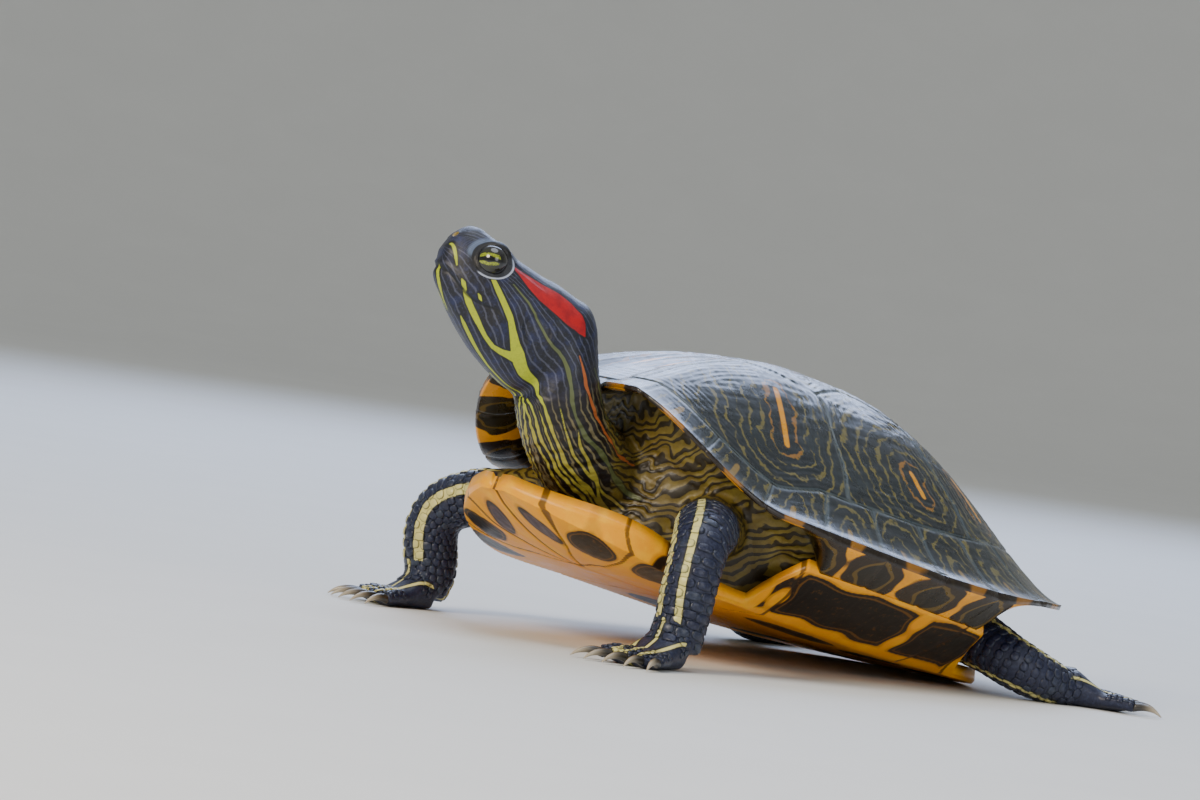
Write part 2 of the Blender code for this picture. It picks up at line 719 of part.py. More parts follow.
def build_tail(home):
    rings = path_rings([Vector(p) for p in TAIL_PATH], Vector((0, 0, 1)), [(r[1], r[0], r[0]) for r in TAIL_RADII])
    verts, faces = tube(rings, 12)
    return make("tail", verts, faces, "skin", home)


def main():
    clear_scene()
    home = collection("red_eared_slider")
    cutters = collection("cutters", hidden=True)
    carapace = build_carapace(home)
    plastron = build_plastron(home)
    trunk = build_trunk(home)
    carapace_cut = grown(carapace, "carapace_cut", cutters)
    plastron_cut = grown(plastron, "plastron_cut", cutters)
    trunk_cut = grown(trunk, "trunk_cut", cutters)
    cut(trunk, carapace_cut)
    cut(trunk, plastron_cut)
    cut(plastron, carapace_cut)
    neck = build_neck(home)
    build_head(home, cutters)
    limbs = build_limbs(home, cutters)
    tail = build_tail(home)
    for obj in [neck, tail] + [o for o in limbs if o.name.startswith(("upper_arm", "thigh"))]:
        cut(obj, trunk_cut)
        cut(obj, carapace_cut)
        cut(obj, plastron_cut)
        apply_all(obj)
    for obj in (trunk, plastron):
        apply_all(obj)
    # Origin under the middle of the whole, on the floor.
    bpy.context.view_layer.update()
    solids = [o for o in home.objects if o.type == "MESH"]
    corners = [o.matrix_world @ v.co for o in solids for v in o.data.vertices]
    middle = Vector(
        (
            (min(c.x for c in corners) + max(c.x for c in corners)) / 2,
            (min(c.y for c in corners) + max(c.y for c in corners)) / 2,
            0.0,
        )
    )
    shift = Matrix.Translation(-middle)
    for obj in list(solids) + list(cutters.objects):
        obj.data.transform(shift)


main()
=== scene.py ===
"""Red-eared slider turtle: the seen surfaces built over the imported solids.

Metres, +Z up. The animal faces -Y and its left is +X.
"""

import contextlib
import math

import bmesh
import bpy
import numpy as np
from mathutils import Matrix, Vector
from mathutils.bvhtree import BVHTree
from mathutils.kdtree import KDTree


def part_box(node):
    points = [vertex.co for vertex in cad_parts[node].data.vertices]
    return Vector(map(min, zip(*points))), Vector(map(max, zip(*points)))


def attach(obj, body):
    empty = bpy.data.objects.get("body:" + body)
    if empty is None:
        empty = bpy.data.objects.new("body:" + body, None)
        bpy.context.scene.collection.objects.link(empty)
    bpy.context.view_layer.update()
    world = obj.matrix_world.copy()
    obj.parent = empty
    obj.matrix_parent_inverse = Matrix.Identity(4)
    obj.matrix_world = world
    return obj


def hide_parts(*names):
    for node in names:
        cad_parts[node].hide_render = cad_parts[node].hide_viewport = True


bl_info = {
    "name": "Red-eared Slider",
    "version": (1, 0, 0),
    "blender": (4, 5, 0),
    "location": "View3D > Sidebar > Slider",
    "description": "Builds the skin, scales, shell, eyes and claws of a red-eared slider over its solids",
    "category": "Object",
}

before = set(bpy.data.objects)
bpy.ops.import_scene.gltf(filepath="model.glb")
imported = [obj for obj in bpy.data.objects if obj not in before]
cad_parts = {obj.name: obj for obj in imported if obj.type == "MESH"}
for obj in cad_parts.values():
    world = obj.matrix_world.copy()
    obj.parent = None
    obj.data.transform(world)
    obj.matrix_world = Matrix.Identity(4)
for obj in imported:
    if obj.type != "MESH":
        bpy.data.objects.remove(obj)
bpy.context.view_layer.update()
MM = 0.001
# Least heights above the floor, in metres, so that no point goes under it.
PIECE_LIFT, SKIN_LIFT, SHELL_LIFT = 0.00005, 0.00006, 0.00002
# The value of a field of marks, in millimetres, far outside every mark.
OUTSIDE = -8.0

# ---------------------------------------------------------------- sizes shared with the solids, millimetres
SHELL_LENGTH = 170.0
SHELL_WIDTH = 136.2
DOME_HEIGHT = 44.5
# Fullness of the dome towards its front, rear and sides.
DOME_FRONT, DOME_REAR, DOME_SIDE = 0.89, 0.67, 0.62
APEX_SHIFT = 0.5
FRONT_SQUARENESS = 3.0
REAR_SQUARENESS = 2.35
REAR_WIDENING = 0.08
FRONT_ARCH = 21.5
FRONT_ARCH_START = 0.58
REAR_LIFT = 7.1
MID_DIP = 1.3
NUCHAL_NOTCH = 4.0
SHELL_THICKNESS = 2.8
# Width of the marginals' undersides in the open and over the bridge, and thickness of their edge.
FLANGE, BRIDGE_FLANGE, EDGE_THICKNESS = 12.0, 8.5, 1.4
# Lengths of the marginals along the rim, from half of the front one to the rearmost.
MARGINALS = (5.0, 28.4, 26.8, 24.1, 22.6, 22.9, 23.6, 24.0, 25.0, 25.0, 23.0, 21.0, 18.0)
PLASTRON_FLOOR = -25.0
PLASTRON_FRONT = -97.4
PLASTRON_REAR = 70.5
PLASTRON_THICKNESS = 3.0
# Share of the way out where the flat belly ends and the bridge begins.
PLASTRON_FLAT = 0.75
LOBE_THICKENING = 0.6
FRONT_UPTURN = 11.3
REAR_UPTURN = 3.4
LOBE_RISE = 6.0
BRIDGE_FRONT = -33.0
BRIDGE_REAR = 33.0
BRIDGE_TOP = -11.0
BRIDGE_INSET = 8.2
BODY_PITCH = math.radians(10.5)
FLOOR_IN_BODY = -33.7
HEAD_BASE = np.array((8.0, -92.9, 25.5))
HEAD_YAW = math.radians(24.0)
HEAD_PITCH = math.radians(21.8)
EYE_RADIUS = 4.3
EYE_AT = (31.3, 7.0, 4.9)

# Stations of the head: distance to the nose, half width, crown, chin, squareness.
HEAD_STATIONS = (
    (-3.0, 11.0, 11.4, -14.5, 2.1),
    (1.5, 11.8, 12.6, -16.0, 2.1),
    (6.0, 12.4, 13.0, -17.2, 2.15),
    (11.0, 12.4, 12.8, -17.0, 2.2),
    (16.0, 12.0, 12.4, -16.3, 2.25),
    (21.0, 11.2, 11.9, -15.2, 2.3),
    (26.0, 10.2, 11.4, -13.5, 2.35),
    (30.0, 9.2, 11.2, -11.9, 2.4),
    (34.0, 8.0, 11.0, -10.1, 2.35),
    (37.0, 6.9, 10.8, -8.8, 2.3),
    (39.5, 5.7, 10.3, -7.9, 2.25),
    (41.4, 4.4, 9.1, -6.9, 2.2),
    (42.6, 2.8, 6.6, -5.4, 2.0),
)
# A path is a row of centres, and its radii are (side, up, down) at each.
NECK_PATH = ((0, -46, -3), (1.5, -57, -2), (4, -68, -0.5), (7, -78.5, 3.0), (9, -86.8, 9.0), (9.5, -92.3, 16.2))
# Length along the neck, back from the head's base.
NECK_ALONG = (-66.2, -55.0, -43.6, -32.2, -21.7, -12.7)
NECK_RADII = (
    (17, 12, 12), (16.5, 12.5, 12.5), (15, 12.5, 12.5), (13.6, 11.6, 12.5), (12.4, 10.6, 12.6), (11.8, 11.0, 12.6),
)
ARM_PATHS = {
    "left": (
        (33, -48, -7), (42, -57, -8.5), (51, -66, -10.5), (57.5, -72, -14.5),
        (59.8, -74, -21), (59.8, -73.6, -29), (59.8, -73.2, -35.5), (60.0, -73.6, -42.4),
    ),
    "right": (
        (34, -45, -7.5), (45, -51, -9.5), (55, -57, -12.5), (62, -59.5, -17),
        (64.5, -59.5, -23.5), (64.2, -57.5, -30), (63.8, -56, -35.0), (63.6, -57.0, -40.4),
    ),
}
ARM_RADII = (
    (10, 10, 9), (9.0, 8.6, 8.6), (8.4, 8.0, 8.0), (7.8, 7.6, 7.6),
    (7.4, 7.8, 7.8), (7.4, 7.8, 7.8), (7.2, 7.2, 7.2), (7.4, 6.4, 6.4),
)
LEG_PATH = (
    (26, 44, -8), (37, 46, -10), (47, 47.5, -12.5), (54, 50, -15.0), (57.5, 56, -16.6), (58.5, 62.5, -17.2),
    (58.5, 69, -17.6),
)
LEG_RADII = (
    (12, 9, 9), (10.5, 8.5, 8.5), (9.4, 7.6, 7.6), (8.6, 7.2, 7.2), (7.6, 6.8, 6.8), (6.6, 6.0, 6.0), (6.4, 5.0, 5.0),
)
TAIL_PATH = (
    (0, 60, -10), (-1, 68, -11.5), (-4, 75.5, -14.0), (-10, 81.5, -16.2), (-18, 85.0, -17.2), (-26, 86.5, -17.8),
)
TAIL_RADII = ((8, 6, 6), (7, 5.4, 5.4), (5.4, 4.5, 4.5), (4.0, 3.4, 3.4), (2.6, 2.2, 2.2), (1.0, 1.0, 1.0))
# Feet: stand in plan, heading from the nose, half width, length, toes, claw length.
FOREFEET = {"left": ((60.0, -76.2), 6.0), "right": ((63.6, -59.6), 16.0)}
FOREFOOT = (10.0, 12.0, 5, 7.6)
HIND_STAND = ((58.5, 71.5), 152.0)
HIND_FOOT = (10.5, 15.0, 4, 7.0)
FLESH = [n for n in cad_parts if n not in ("carapace", "plastron") and "eye" not in n and "claw" not in n]


# ---------------------------------------------------------------- small helpers
def clamp01(value):
    return np.clip(value, 0.0, 1.0)


def smooth(low, high, value):
    """0 at low, 1 at high and eased between; high may be the lesser one."""
    t = clamp01((value - low) / (high - low))
    return t * t * (3 - 2 * t)


def hill(value, centre, width):
    """A smooth hump, 1 at its centre."""
    return np.exp(-(((value - centre) / width) ** 2))


def unit(v):
    """Rows scaled to length 1."""
    v = np.asarray(v, float)
    return v / np.maximum(np.linalg.norm(v, axis=-1, keepdims=True), 1e-12)


def signed_power(value, power):
    """Power of the size of a value, with the value's sign."""
    return np.copysign(np.abs(value) ** power, value)


def ripple(points, size, seed):
    """Smooth irregular values, about -1 to 1, with features of about `size` millimetres."""
    q = np.asarray(points) * (2 * math.pi / size)
    total = 0.0
    for k in range(6):
        spin, rise = 2.4 * k + seed, 1.7 * k
        way = np.array((math.cos(spin), math.sin(spin) * math.cos(rise), math.sin(rise + seed)))
        total = total + np.sin(q @ unit(way) * (0.6 + 0.16 * k) + 1.3 * k + 2.1 * seed)
    return total / 3.0


# ---------------------------------------------------------------- frames
def pitched(rows, way=1):
    """Turns rows of points or directions by the body's pitch: shell frame to world, or back with way -1."""
    c, s = math.cos(BODY_PITCH), way * math.sin(BODY_PITCH)
    return np.stack([rows[:, 0], rows[:, 1] * c + rows[:, 2] * s, -rows[:, 1] * s + rows[:, 2] * c], axis=1)


def tilt(points):
    """Shell frame (X left, Y to the tail, Z up from the mid rim) to the world, both in millimetres."""
    return pitched(np.atleast_2d(np.asarray(points, float))) - (0, 0, FLOOR_IN_BODY)


NOSE = np.array(
    (-math.sin(HEAD_YAW) * math.cos(HEAD_PITCH), -math.cos(HEAD_YAW) * math.cos(HEAD_PITCH), math.sin(HEAD_PITCH))
)
HEAD_LEFT = np.array((math.cos(HEAD_YAW), -math.sin(HEAD_YAW), 0.0))
HEAD_UP = np.cross(NOSE, HEAD_LEFT)


def head_point(u, s, v):
    """Place in the shell frame, from the head's own u, s and v."""
    return HEAD_BASE + NOSE * u + HEAD_LEFT * s + HEAD_UP * v


def in_head(points):
    """Shell frame to the head's own: u to the nose, s to the left, v up."""
    d = points - HEAD_BASE
    return d @ NOSE, d @ HEAD_LEFT, d @ HEAD_UP


EYE_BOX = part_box("eye_left")
SHIFT = np.array((EYE_BOX[0] + EYE_BOX[1]) * 0.5) / MM - tilt(head_point(*EYE_AT))[0]
SHIFT[2] = 0.0


def to_world(points):
    """Shell frame, millimetres, to the scene, metres."""
    return (tilt(points) + SHIFT) * MM


def to_shell(points):
    """Scene, metres, to the shell frame, millimetres."""
    return pitched(np.asarray(points, float) / MM - SHIFT + (0, 0, FLOOR_IN_BODY), -1)


def floor_level(y):
    """Height of the floor in the shell frame."""
    return (FLOOR_IN_BODY + y * math.sin(BODY_PITCH)) / math.cos(BODY_PITCH)


# ---------------------------------------------------------------- meshes
def add_object(name, world, faces):
    mesh = bpy.data.meshes.new(name)
    mesh.from_pydata(np.asarray(world).tolist(), [], faces)
    obj = bpy.data.objects.new(name, mesh)
    bpy.context.scene.collection.objects.link(obj)
    return obj


def lifted(points, least):
    """Shell frame to the scene, with no point lower than this height."""
    return np.maximum(to_world(points), (-math.inf, -math.inf, least))


@contextlib.contextmanager
def edited(mesh):
    """A mesh open for editing; what is done to it is kept at the end."""
    bm = bmesh.new()
    bm.from_mesh(mesh)
    yield bm
    bm.to_mesh(mesh)
    bm.free()


def new_piece(name, points, faces):
    """A closed smooth piece from points in the shell frame, with double points joined."""
    obj = add_object(name, lifted(points, PIECE_LIFT), faces)
    with edited(obj.data) as bm:
        bmesh.ops.remove_doubles(bm, verts=bm.verts, dist=0.000004)
        bmesh.ops.recalc_face_normals(bm, faces=bm.faces)
        if bm.calc_volume(signed=True) < 0:
            bmesh.ops.reverse_faces(bm, faces=bm.faces)
    obj.data.polygons.foreach_set("use_smooth", np.ones(len(obj.data.polygons), bool))
    return obj


def only(*objs):
    """Selects these objects and nothing else; the first is active."""
    bpy.ops.object.select_all(action="DESELECT")
    for obj in objs:
        obj.select_set(True)
    bpy.context.view_layer.objects.active = objs[0]


def apply_modifier(obj, kind, **settings):
    only(obj)
    mod = obj.modifiers.new(kind.title(), kind)
    for key, value in settings.items():
        setattr(mod, key, value)
    bpy.ops.object.modifier_apply(modifier=mod.name)


def exact_piece(name, world, faces, inside=False):
    """A smooth piece whose points stay as given, in the scene's metres; its faces look outward, or inside a room."""
    obj = add_object(name, world, faces)
    only(obj)
    bpy.ops.object.mode_set(mode="EDIT")
    bpy.ops.mesh.select_all(action="SELECT")
    bpy.ops.mesh.normals_make_consistent(inside=inside)
    bpy.ops.object.mode_set(mode="OBJECT")
    bpy.ops.object.shade_smooth()
    return obj


def vectors(items, key):
    values = np.empty(len(items) * 3, np.float32)
    items.foreach_get(key, values)
    return values.reshape(-1, 3).astype(float)


def whole_numbers(items, key, width=1):
    values = np.empty(len(items) * width, np.int32)
    items.foreach_get(key, values)
    return values


def coords(mesh):
    return vectors(mesh.vertices, "co")


def set_coords(mesh, co):
    mesh.vertices.foreach_set("co", np.asarray(co, np.float32).ravel())
    mesh.update()


def put(mesh, **fields):
    """Stores one number per vertex for each field, for the materials to read."""
    for name, values in fields.items():
        layer = mesh.attributes.get(name) or mesh.attributes.new(name, "FLOAT", "POINT")
        layer.data.foreach_set("value", np.asarray(values, np.float32).ravel())


def set_uv(mesh, uv):
    layer = mesh.uv_layers.get("OFBake") or mesh.uv_layers.new(name="OFBake")
    layer.data.foreach_set("uv", uv.astype(np.float32).ravel())


def grid_faces(rows, cols, wrap=True):
    """Four-sided faces between rows of points; wrap closes each row into a ring."""
    r = np.arange(rows - 1)[:, None] * cols
    c = np.arange(cols if wrap else cols - 1)[None, :]
    d = (c + 1) % cols
    return np.stack([r + c, r + d, r + cols + d, r + cols + c], axis=-1).reshape(-1, 4)


def capped_faces(rows, cols):
    """Faces of a tube of rings, with a fan to a pole at each end; the poles are the last two points."""
    faces = grid_faces(rows, cols).tolist()
    pole, last = rows * cols, (rows - 1) * cols
    for k in range(cols):
        n = (k + 1) % cols
        faces += [[n, k, pole], [last + k, last + n, pole + 1]]
    return faces


def through(rows, steps):
    """More rows, on a smooth curve through the given ones."""
    rows = np.asarray(rows, float)
    ends = np.vstack([2 * rows[0] - rows[1], rows, 2 * rows[-1] - rows[-2]])
    out = []
    for i in range(len(rows) - 1):
        a, b, c, d = ends[i : i + 4]
        for k in range(steps):
            t = k / steps
            square, cube = 2 * a - 5 * b + 4 * c - d, 3 * b - a - 3 * c + d
            out.append(0.5 * (2 * b + (c - a) * t + square * t**2 + cube * t**3))
    out.append(rows[-1])
    return np.array(out)


def tidy_rings(rows):
    """Rings whose two axes have length 1."""
    rows = np.array(rows)
    rows[:, 3:6] = unit(rows[:, 3:6])
    rows[:, 6:9] = unit(rows[:, 6:9])
    return rows


def loft(rows, sides):
    """Closed tube. A row is centre, side axis, up axis, side radius, up radius, down radius, squareness."""
    a = 2 * math.pi * np.arange(sides) / sides
    verts = []
    for row in rows:
        c = signed_power(np.cos(a), 2 / row[12])
        s = signed_power(np.sin(a), 2 / row[12])
        high = np.where(s > 0, row[10], row[11]) * s
        verts.append(row[0:3] + np.outer(row[9] * c, row[3:6]) + np.outer(high, row[6:9]))
    verts = np.vstack(verts + [rows[0][None, :3], rows[-1][None, :3]])
    return verts, capped_faces(len(rows), sides)


def path_rows(points, side, radii, inset):
    """Round rings along a path, set in a little for the coat. One of their axes stays near `side`."""
    points = [np.asarray(p, float) for p in points]
    rows = []
    for i, point in enumerate(points):
        along = unit(points[min(i + 1, len(points) - 1)] - points[max(i - 1, 0)])
        up = unit(np.cross(along, side))
        across = unit(np.cross(up, along))
        rows.append([*point, *across, *up, *(r - inset for r in radii[i]), 2.0])
    return np.array(rows)


class Chart:
    """Length along and angle round a limb, head or neck, from the planes of its rings."""

    def __init__(self, rows, along):
        fine = through(np.hstack([np.asarray(rows, float), np.asarray(along, float)[:, None]]), 3)
        self.rows = tidy_rings(fine[:, :13])
        self.along = fine[:, 13]

    def locate(self, points):
        """Length along, angle from the ring's up axis to its side axis, distance out, and that over the radius."""
        c = self.rows[:, :3]
        way = unit(np.cross(self.rows[:, 3:6], self.rows[:, 6:9]))
        lead = unit(np.gradient(c, axis=0))
        way *= np.sign((way * lead).sum(1))[:, None]
        best = np.full(len(points), 1e9)
        out = np.zeros((len(points), 4))
        last = len(c) - 2
        for i in range(last + 1):
            behind = (points - c[i]) @ way[i]
            beyond = (points - c[i + 1]) @ way[i + 1]
            gap = behind - beyond
            t = clamp01(behind / np.where(np.abs(gap) < 1e-6, 1e-6, gap))
            held = ((behind >= 0) | (i == 0)) & ((beyond <= 0) | (i == last))
            mix = self.rows[i] + t[:, None] * (self.rows[i + 1] - self.rows[i])
            away = points - mix[:, :3]
            dist = np.linalg.norm(away, axis=1)
            x = (away * unit(mix[:, 3:6])).sum(1)
            y = (away * unit(mix[:, 6:9])).sum(1)
            score = dist + np.where(held, 0.0, 40.0)
            near = score < best
            best = np.where(near, score, best)
            length = self.along[i] + t * (self.along[i + 1] - self.along[i])
            out[near] = np.stack([length, np.arctan2(x, y), dist, dist / mix[:, 9]], 1)[near]
        return out


def run_of(points):
    """Length run along a line up to each of its points."""
    return np.concatenate([[0], np.cumsum(np.linalg.norm(np.diff(points, axis=0), axis=1))])


def chart_of(rows):
    rows = np.asarray(rows, float)
    return Chart(rows, run_of(rows[:, :3]))


# ---------------------------------------------------------------- shell shape
def plan(t):
    """Rim outline: t runs from the nose (0) over the left flank to the tail (pi)."""
    c, s = np.cos(t), np.sin(t)
    power = np.where(c > 0, FRONT_SQUARENESS, REAR_SQUARENESS)
    y = -SHELL_LENGTH / 2 * signed_power(c, 2 / power)
    x = SHELL_WIDTH / 2 * signed_power(s, 2 / power) * (1 + REAR_WIDENING * y / (SHELL_LENGTH / 2))
    return x, y + np.where(c > 0, NUCHAL_NOTCH * np.exp(-((x / 17.0) ** 4)), 0.0)


def rim_height(t):
    """Height of the rim: raised over the neck and the tail, lowest at the flanks."""
    y = plan(t)[1] / (SHELL_LENGTH / 2)
    arch = FRONT_ARCH * clamp01((-y - FRONT_ARCH_START) / (0.97 - FRONT_ARCH_START)) ** 1.7
    return arch + REAR_LIFT * clamp01(y) ** 2 - MID_DIP * clamp01(1 - (y / 0.6) ** 2)


def dome(t, f):
    """Outer face of the carapace, f from the crown (0) to the rim (1)."""
    t, f = np.broadcast_arrays(np.asarray(t, float), np.asarray(f, float))
    x, y = plan(t)
    c = np.cos(t)
    lean = np.where(c > 0, DOME_FRONT, DOME_REAR) * c * c + DOME_SIDE * (1 - c * c)
    fall = np.maximum(0.0, 1 - f**2.2) ** (1 / lean)
    return np.stack([x * f, y * f + APEX_SHIFT * (1 - f), DOME_HEIGHT * fall + rim_height(t) * f * f], axis=-1)


def on_dome(x, y):
    """Rim angle and share of the way out for places given in plan."""
    x, y = np.asarray(x, float), np.asarray(y, float)
    table = np.linspace(0, math.pi, 2000)
    px, py = plan(table)
    angle = np.maximum.accumulate(np.arctan2(px, -py))
    t = np.interp(np.arctan2(np.abs(x), -y), angle, table)
    gx, gy = plan(t)
    f = np.hypot(x, y) / np.hypot(gx, gy)
    return np.where(x < 0, 2 * math.pi - t, t), f


def seam_angles():
    """Rim angles of the marginal seams, from the front midline round the left side."""
    t = np.linspace(0, math.pi, 2001)
    x, y = plan(t)
    run = run_of(np.stack([x, y, rim_height(t)], 1))
    share = np.cumsum(MARGINALS) / sum(MARGINALS)
    return np.interp(share * run[-1], run, t)


SEAMS = seam_angles()
# Spacing of the points along a seam or bar, in millimetres.
CURVE_STEP = 0.35
# Where the marginals meet the costals: share of the way to the rim, by rim angle in degrees.
SULCUS_AT = (0, 40, 60, 72, 90, 120, 150, 180)
SULCUS = (0.895, 0.885, 0.865, 0.795, 0.775, 0.765, 0.79, 0.82)
# Vertebral scutes: half width by station; the wide places are where the costal seams meet them.
VERTEBRAL_AT = (-73, -60, -36, -15, 1, 17, 32, 45, 58, 66)
VERTEBRAL_HALF = (17.5, 14.5, 12.0, 21.0, 12.5, 20.0, 11.5, 17.5, 9.5, 19.0)
VERTEBRAL_SEAMS = (-36, 1, 32, 58)
# Costal seams from the vertebral corner to the marginals: inner x, inner y, outer y. All end at the same outer x.
COSTAL_SEAMS = ((21.0, -15.0, -20.2), (20.0, 17.0, 27.0), (17.5, 45.0, 57.0))
COSTAL_OUT = 51.0
# Numbers of the scutes, for the colours: costals from 10, those of the left from 15, and marginals from 20.
FIRST_COSTAL, LEFT_COSTALS, FIRST_MARGINAL = 10, 5, 20
# About how far it is from the crown to the rim, in millimetres, to turn f into a length.
RIM_RUN = 62.0
# The orange bar of each costal: inner x, y and outer x, y.
COSTAL_BARS = ((24.2, -32.7, 40.1, -37.3), (39.5, 9.6, 45, 11.2), (31, 33, 41, 38), (26, 55, 33, 60))


def sulcus(t):
    """Share f of the seam between costals and marginals."""
    deg = np.degrees(np.minimum(t, 2 * math.pi - t))
    return np.interp(deg, SULCUS_AT, SULCUS)


def costal_line(seam, x):
    """Station of a costal seam at distance x from the midline."""
    inner_x, inner_y, outer_y = seam
    return inner_y + (outer_y - inner_y) * clamp01((x - inner_x) / (COSTAL_OUT - inner_x))


def plan_curve(xs, ys):
    """Close points on the dome, along a line given in plan."""
    run = run_of(np.stack([xs, ys], axis=1))
    at = np.arange(0, run[-1], CURVE_STEP)
    t, f = on_dome(np.interp(at, run, xs), np.interp(at, run, ys))
    return dome(t, np.minimum(f, 1.0))


def tree_of(points):
    tree = KDTree(len(points))
    for i, p in enumerate(points):
        tree.insert(p, i)
    tree.balance()
    return tree


def distance_to(points, curve):
    """Distance from each point to the nearest point of a curve."""
    tree = tree_of(curve)
    return np.array([tree.find(p)[2] for p in points])


def upper_seams():
    """Points along every seam of the carapace's upper face."""
    curves = []
    ring = np.linspace(0, 2 * math.pi, 1800)
    curves.append(dome(ring, sulcus(ring)))
    for side in (1, -1):
        ys = np.linspace(-73, 66, 220)
        half = np.interp(ys, VERTEBRAL_AT, VERTEBRAL_HALF)
        curves.append(plan_curve(side * half, ys))
        for seam in COSTAL_SEAMS:
            xs = np.linspace(seam[0], COSTAL_OUT, 60)
            ys = costal_line(seam, xs) + 0.5 * np.sin((xs - seam[0]) * 0.35)
            t, f = on_dome(xs, ys)
            keep = f < sulcus(t)
            curves.append(plan_curve(side * xs[keep], ys[keep]))
    for y in VERTEBRAL_SEAMS:
        half = np.interp(y, VERTEBRAL_AT, VERTEBRAL_HALF)
        xs = np.linspace(-half, half, 60)
        curves.append(plan_curve(xs, y + 0.8 * np.cos(xs / half * 4.0)))
    for t in np.concatenate([SEAMS[:-1], 2 * math.pi - SEAMS[:-1], [math.pi]]):
        f = np.linspace(float(sulcus(np.array(t))), 1.0, 60)
        curves.append(dome(np.full(60, t), f))
    return np.vstack(curves)


def at_bridge(y):
    """1 over the bridge, 0 over the lobes, eased at the notches."""
    return np.minimum(clamp01((y - BRIDGE_FRONT + 12) / 12), clamp01((BRIDGE_REAR + 12 - y) / 12)) ** 1.5


def under_rim(t, step):
    """Underside of the marginals, step 0 at the rim to 1 at its inner edge."""
    x, y = plan(t)
    bridge = at_bridge(y)
    inward = (FLANGE * (1 - bridge) + BRIDGE_FLANGE * bridge) * step
    k = 1 - inward / np.hypot(x, y)
    lifted = dome(t, k)[..., 2] - SHELL_THICKNESS - 0.6 * step
    z = rim_height(t) - EDGE_THICKNESS
    open_z = z + (lifted - z) * step * 0.75
    wrap_z = z + (BRIDGE_TOP - z) * step**0.85
    return np.stack([x * k, y * k, open_z * (1 - bridge) + wrap_z * bridge], axis=-1)


def marginal_of(t):
    """Index of the marginal under each rim angle, and how far across it the angle is, 0 to 1."""
    half = np.minimum(t, 2 * math.pi - t)
    edges = np.concatenate([[0.0], SEAMS])
    index = np.clip(np.searchsorted(edges, half, side="right") - 1, 0, len(MARGINALS) - 1)
    return index, (half - edges[index]) / (edges[index + 1] - edges[index])


def bar_distances(points, t, f):
    """On the upper face: distance to each scute's orange bar, its number, and where marginals and vertebrals are."""
    x, y = points[:, 0], points[:, 1]
    ax = np.abs(x)
    marginal = f > sulcus(t)
    vertebral = (~marginal) & (ax < np.interp(y, VERTEBRAL_AT, VERTEBRAL_HALF))
    costal = ~marginal & ~vertebral
    bar = np.full(len(points), 30.0)
    number = np.zeros(len(points))
    order = np.zeros(len(points), int)
    for seam in COSTAL_SEAMS:
        order += y > costal_line(seam, ax)
    for i, (x0, y0, x1, y1) in enumerate(COSTAL_BARS):
        mine = costal & (order == i)
        line = plan_curve(np.array((x0, x1)), np.array((y0, y1)))
        mirrored = points[mine] * np.sign(x[mine])[:, None] ** np.array((1, 0, 0))
        bar[mine] = distance_to(mirrored, line)
        number[mine] = FIRST_COSTAL + i + LEFT_COSTALS * (x[mine] > 0)
    number = np.where(vertebral, 1 + np.searchsorted(VERTEBRAL_SEAMS, y), number)
    # Vertebrals carry long narrow loops each side of the midline.
    bar = np.where(vertebral, np.abs(ax - 5.0) + 0.35 * np.abs(((y + 36) % 34) - 17) * 0.25, bar)
    # Each marginal has a short bar from the rim, with a hooked loop round it.
    index, across = marginal_of(t)
    side = (across - 0.45) * np.asarray(MARGINALS)[index]
    bar = np.where(marginal, np.hypot(side, np.maximum(0.0, (1 - f) * RIM_RUN - 4.5)), bar)
    number = np.where(marginal, FIRST_MARGINAL + index, number)
    return bar, number, marginal, vertebral


CARAPACE_COLUMNS = 620
# Shares f of the rings of the upper face, closer near the rim, and of those of the hidden inner face.
UPPER_RINGS = (*np.linspace(0.006, 0.6, 56), *np.linspace(0.6, 0.97, 58)[1:], 0.978, 0.986, 0.992, 0.997, 1.0)
INNER_RINGS = (0.80, 0.6, 0.4, 0.2, 0.05)
# The notch in the rim at each rear seam: depth in millimetres and half width as a rim angle.
NOTCH_DEPTH, NOTCH_HALF = 1.1, 0.04
# Values of u: steps 0 to 1 are under the rim.
ON_TOP, INSIDE = -1.0, 2.0


def build_carapace_shape():
    """Points and faces of the carapace's whole wall, and each point's rim angle, share f and step u under the rim."""
    t = 2 * math.pi * np.arange(CARAPACE_COLUMNS) / CARAPACE_COLUMNS
    notch_at = np.concatenate([SEAMS[6:-1], 2 * math.pi - SEAMS[6:-1]])
    near = np.abs(t[:, None] - notch_at[None]).min(1)
    pull = 1 - (NOTCH_DEPTH * clamp01(1 - near / NOTCH_HALF)) / np.hypot(*plan(t))
    rings = []
    for f in UPPER_RINGS:
        ring = dome(t, f)
        ring[:, :2] *= (1 + (pull - 1) * smooth(0.965, 1.0, f))[:, None]
        rings.append((ring, f, ON_TOP))
    for step in np.linspace(0, 1, 16)[1:]:
        rings.append((under_rim(t, step), 1.0, step))
    wall = np.array((0, 0, SHELL_THICKNESS))
    for f in INNER_RINGS:
        rings.append((dome(t, f) - wall, f, INSIDE))
    crown = dome(0.0, 0.0)
    points = np.vstack([ring for ring, _, _ in rings] + [crown, crown - wall])
    ff = np.append(np.repeat([f for _, f, _ in rings], len(t)), (0, 0))
    uu = np.append(np.repeat([u for _, _, u in rings], len(t)), (ON_TOP, INSIDE))
    return points, capped_faces(len(rings), len(t)), np.append(np.tile(t, len(rings)), (0, 0)), ff, uu


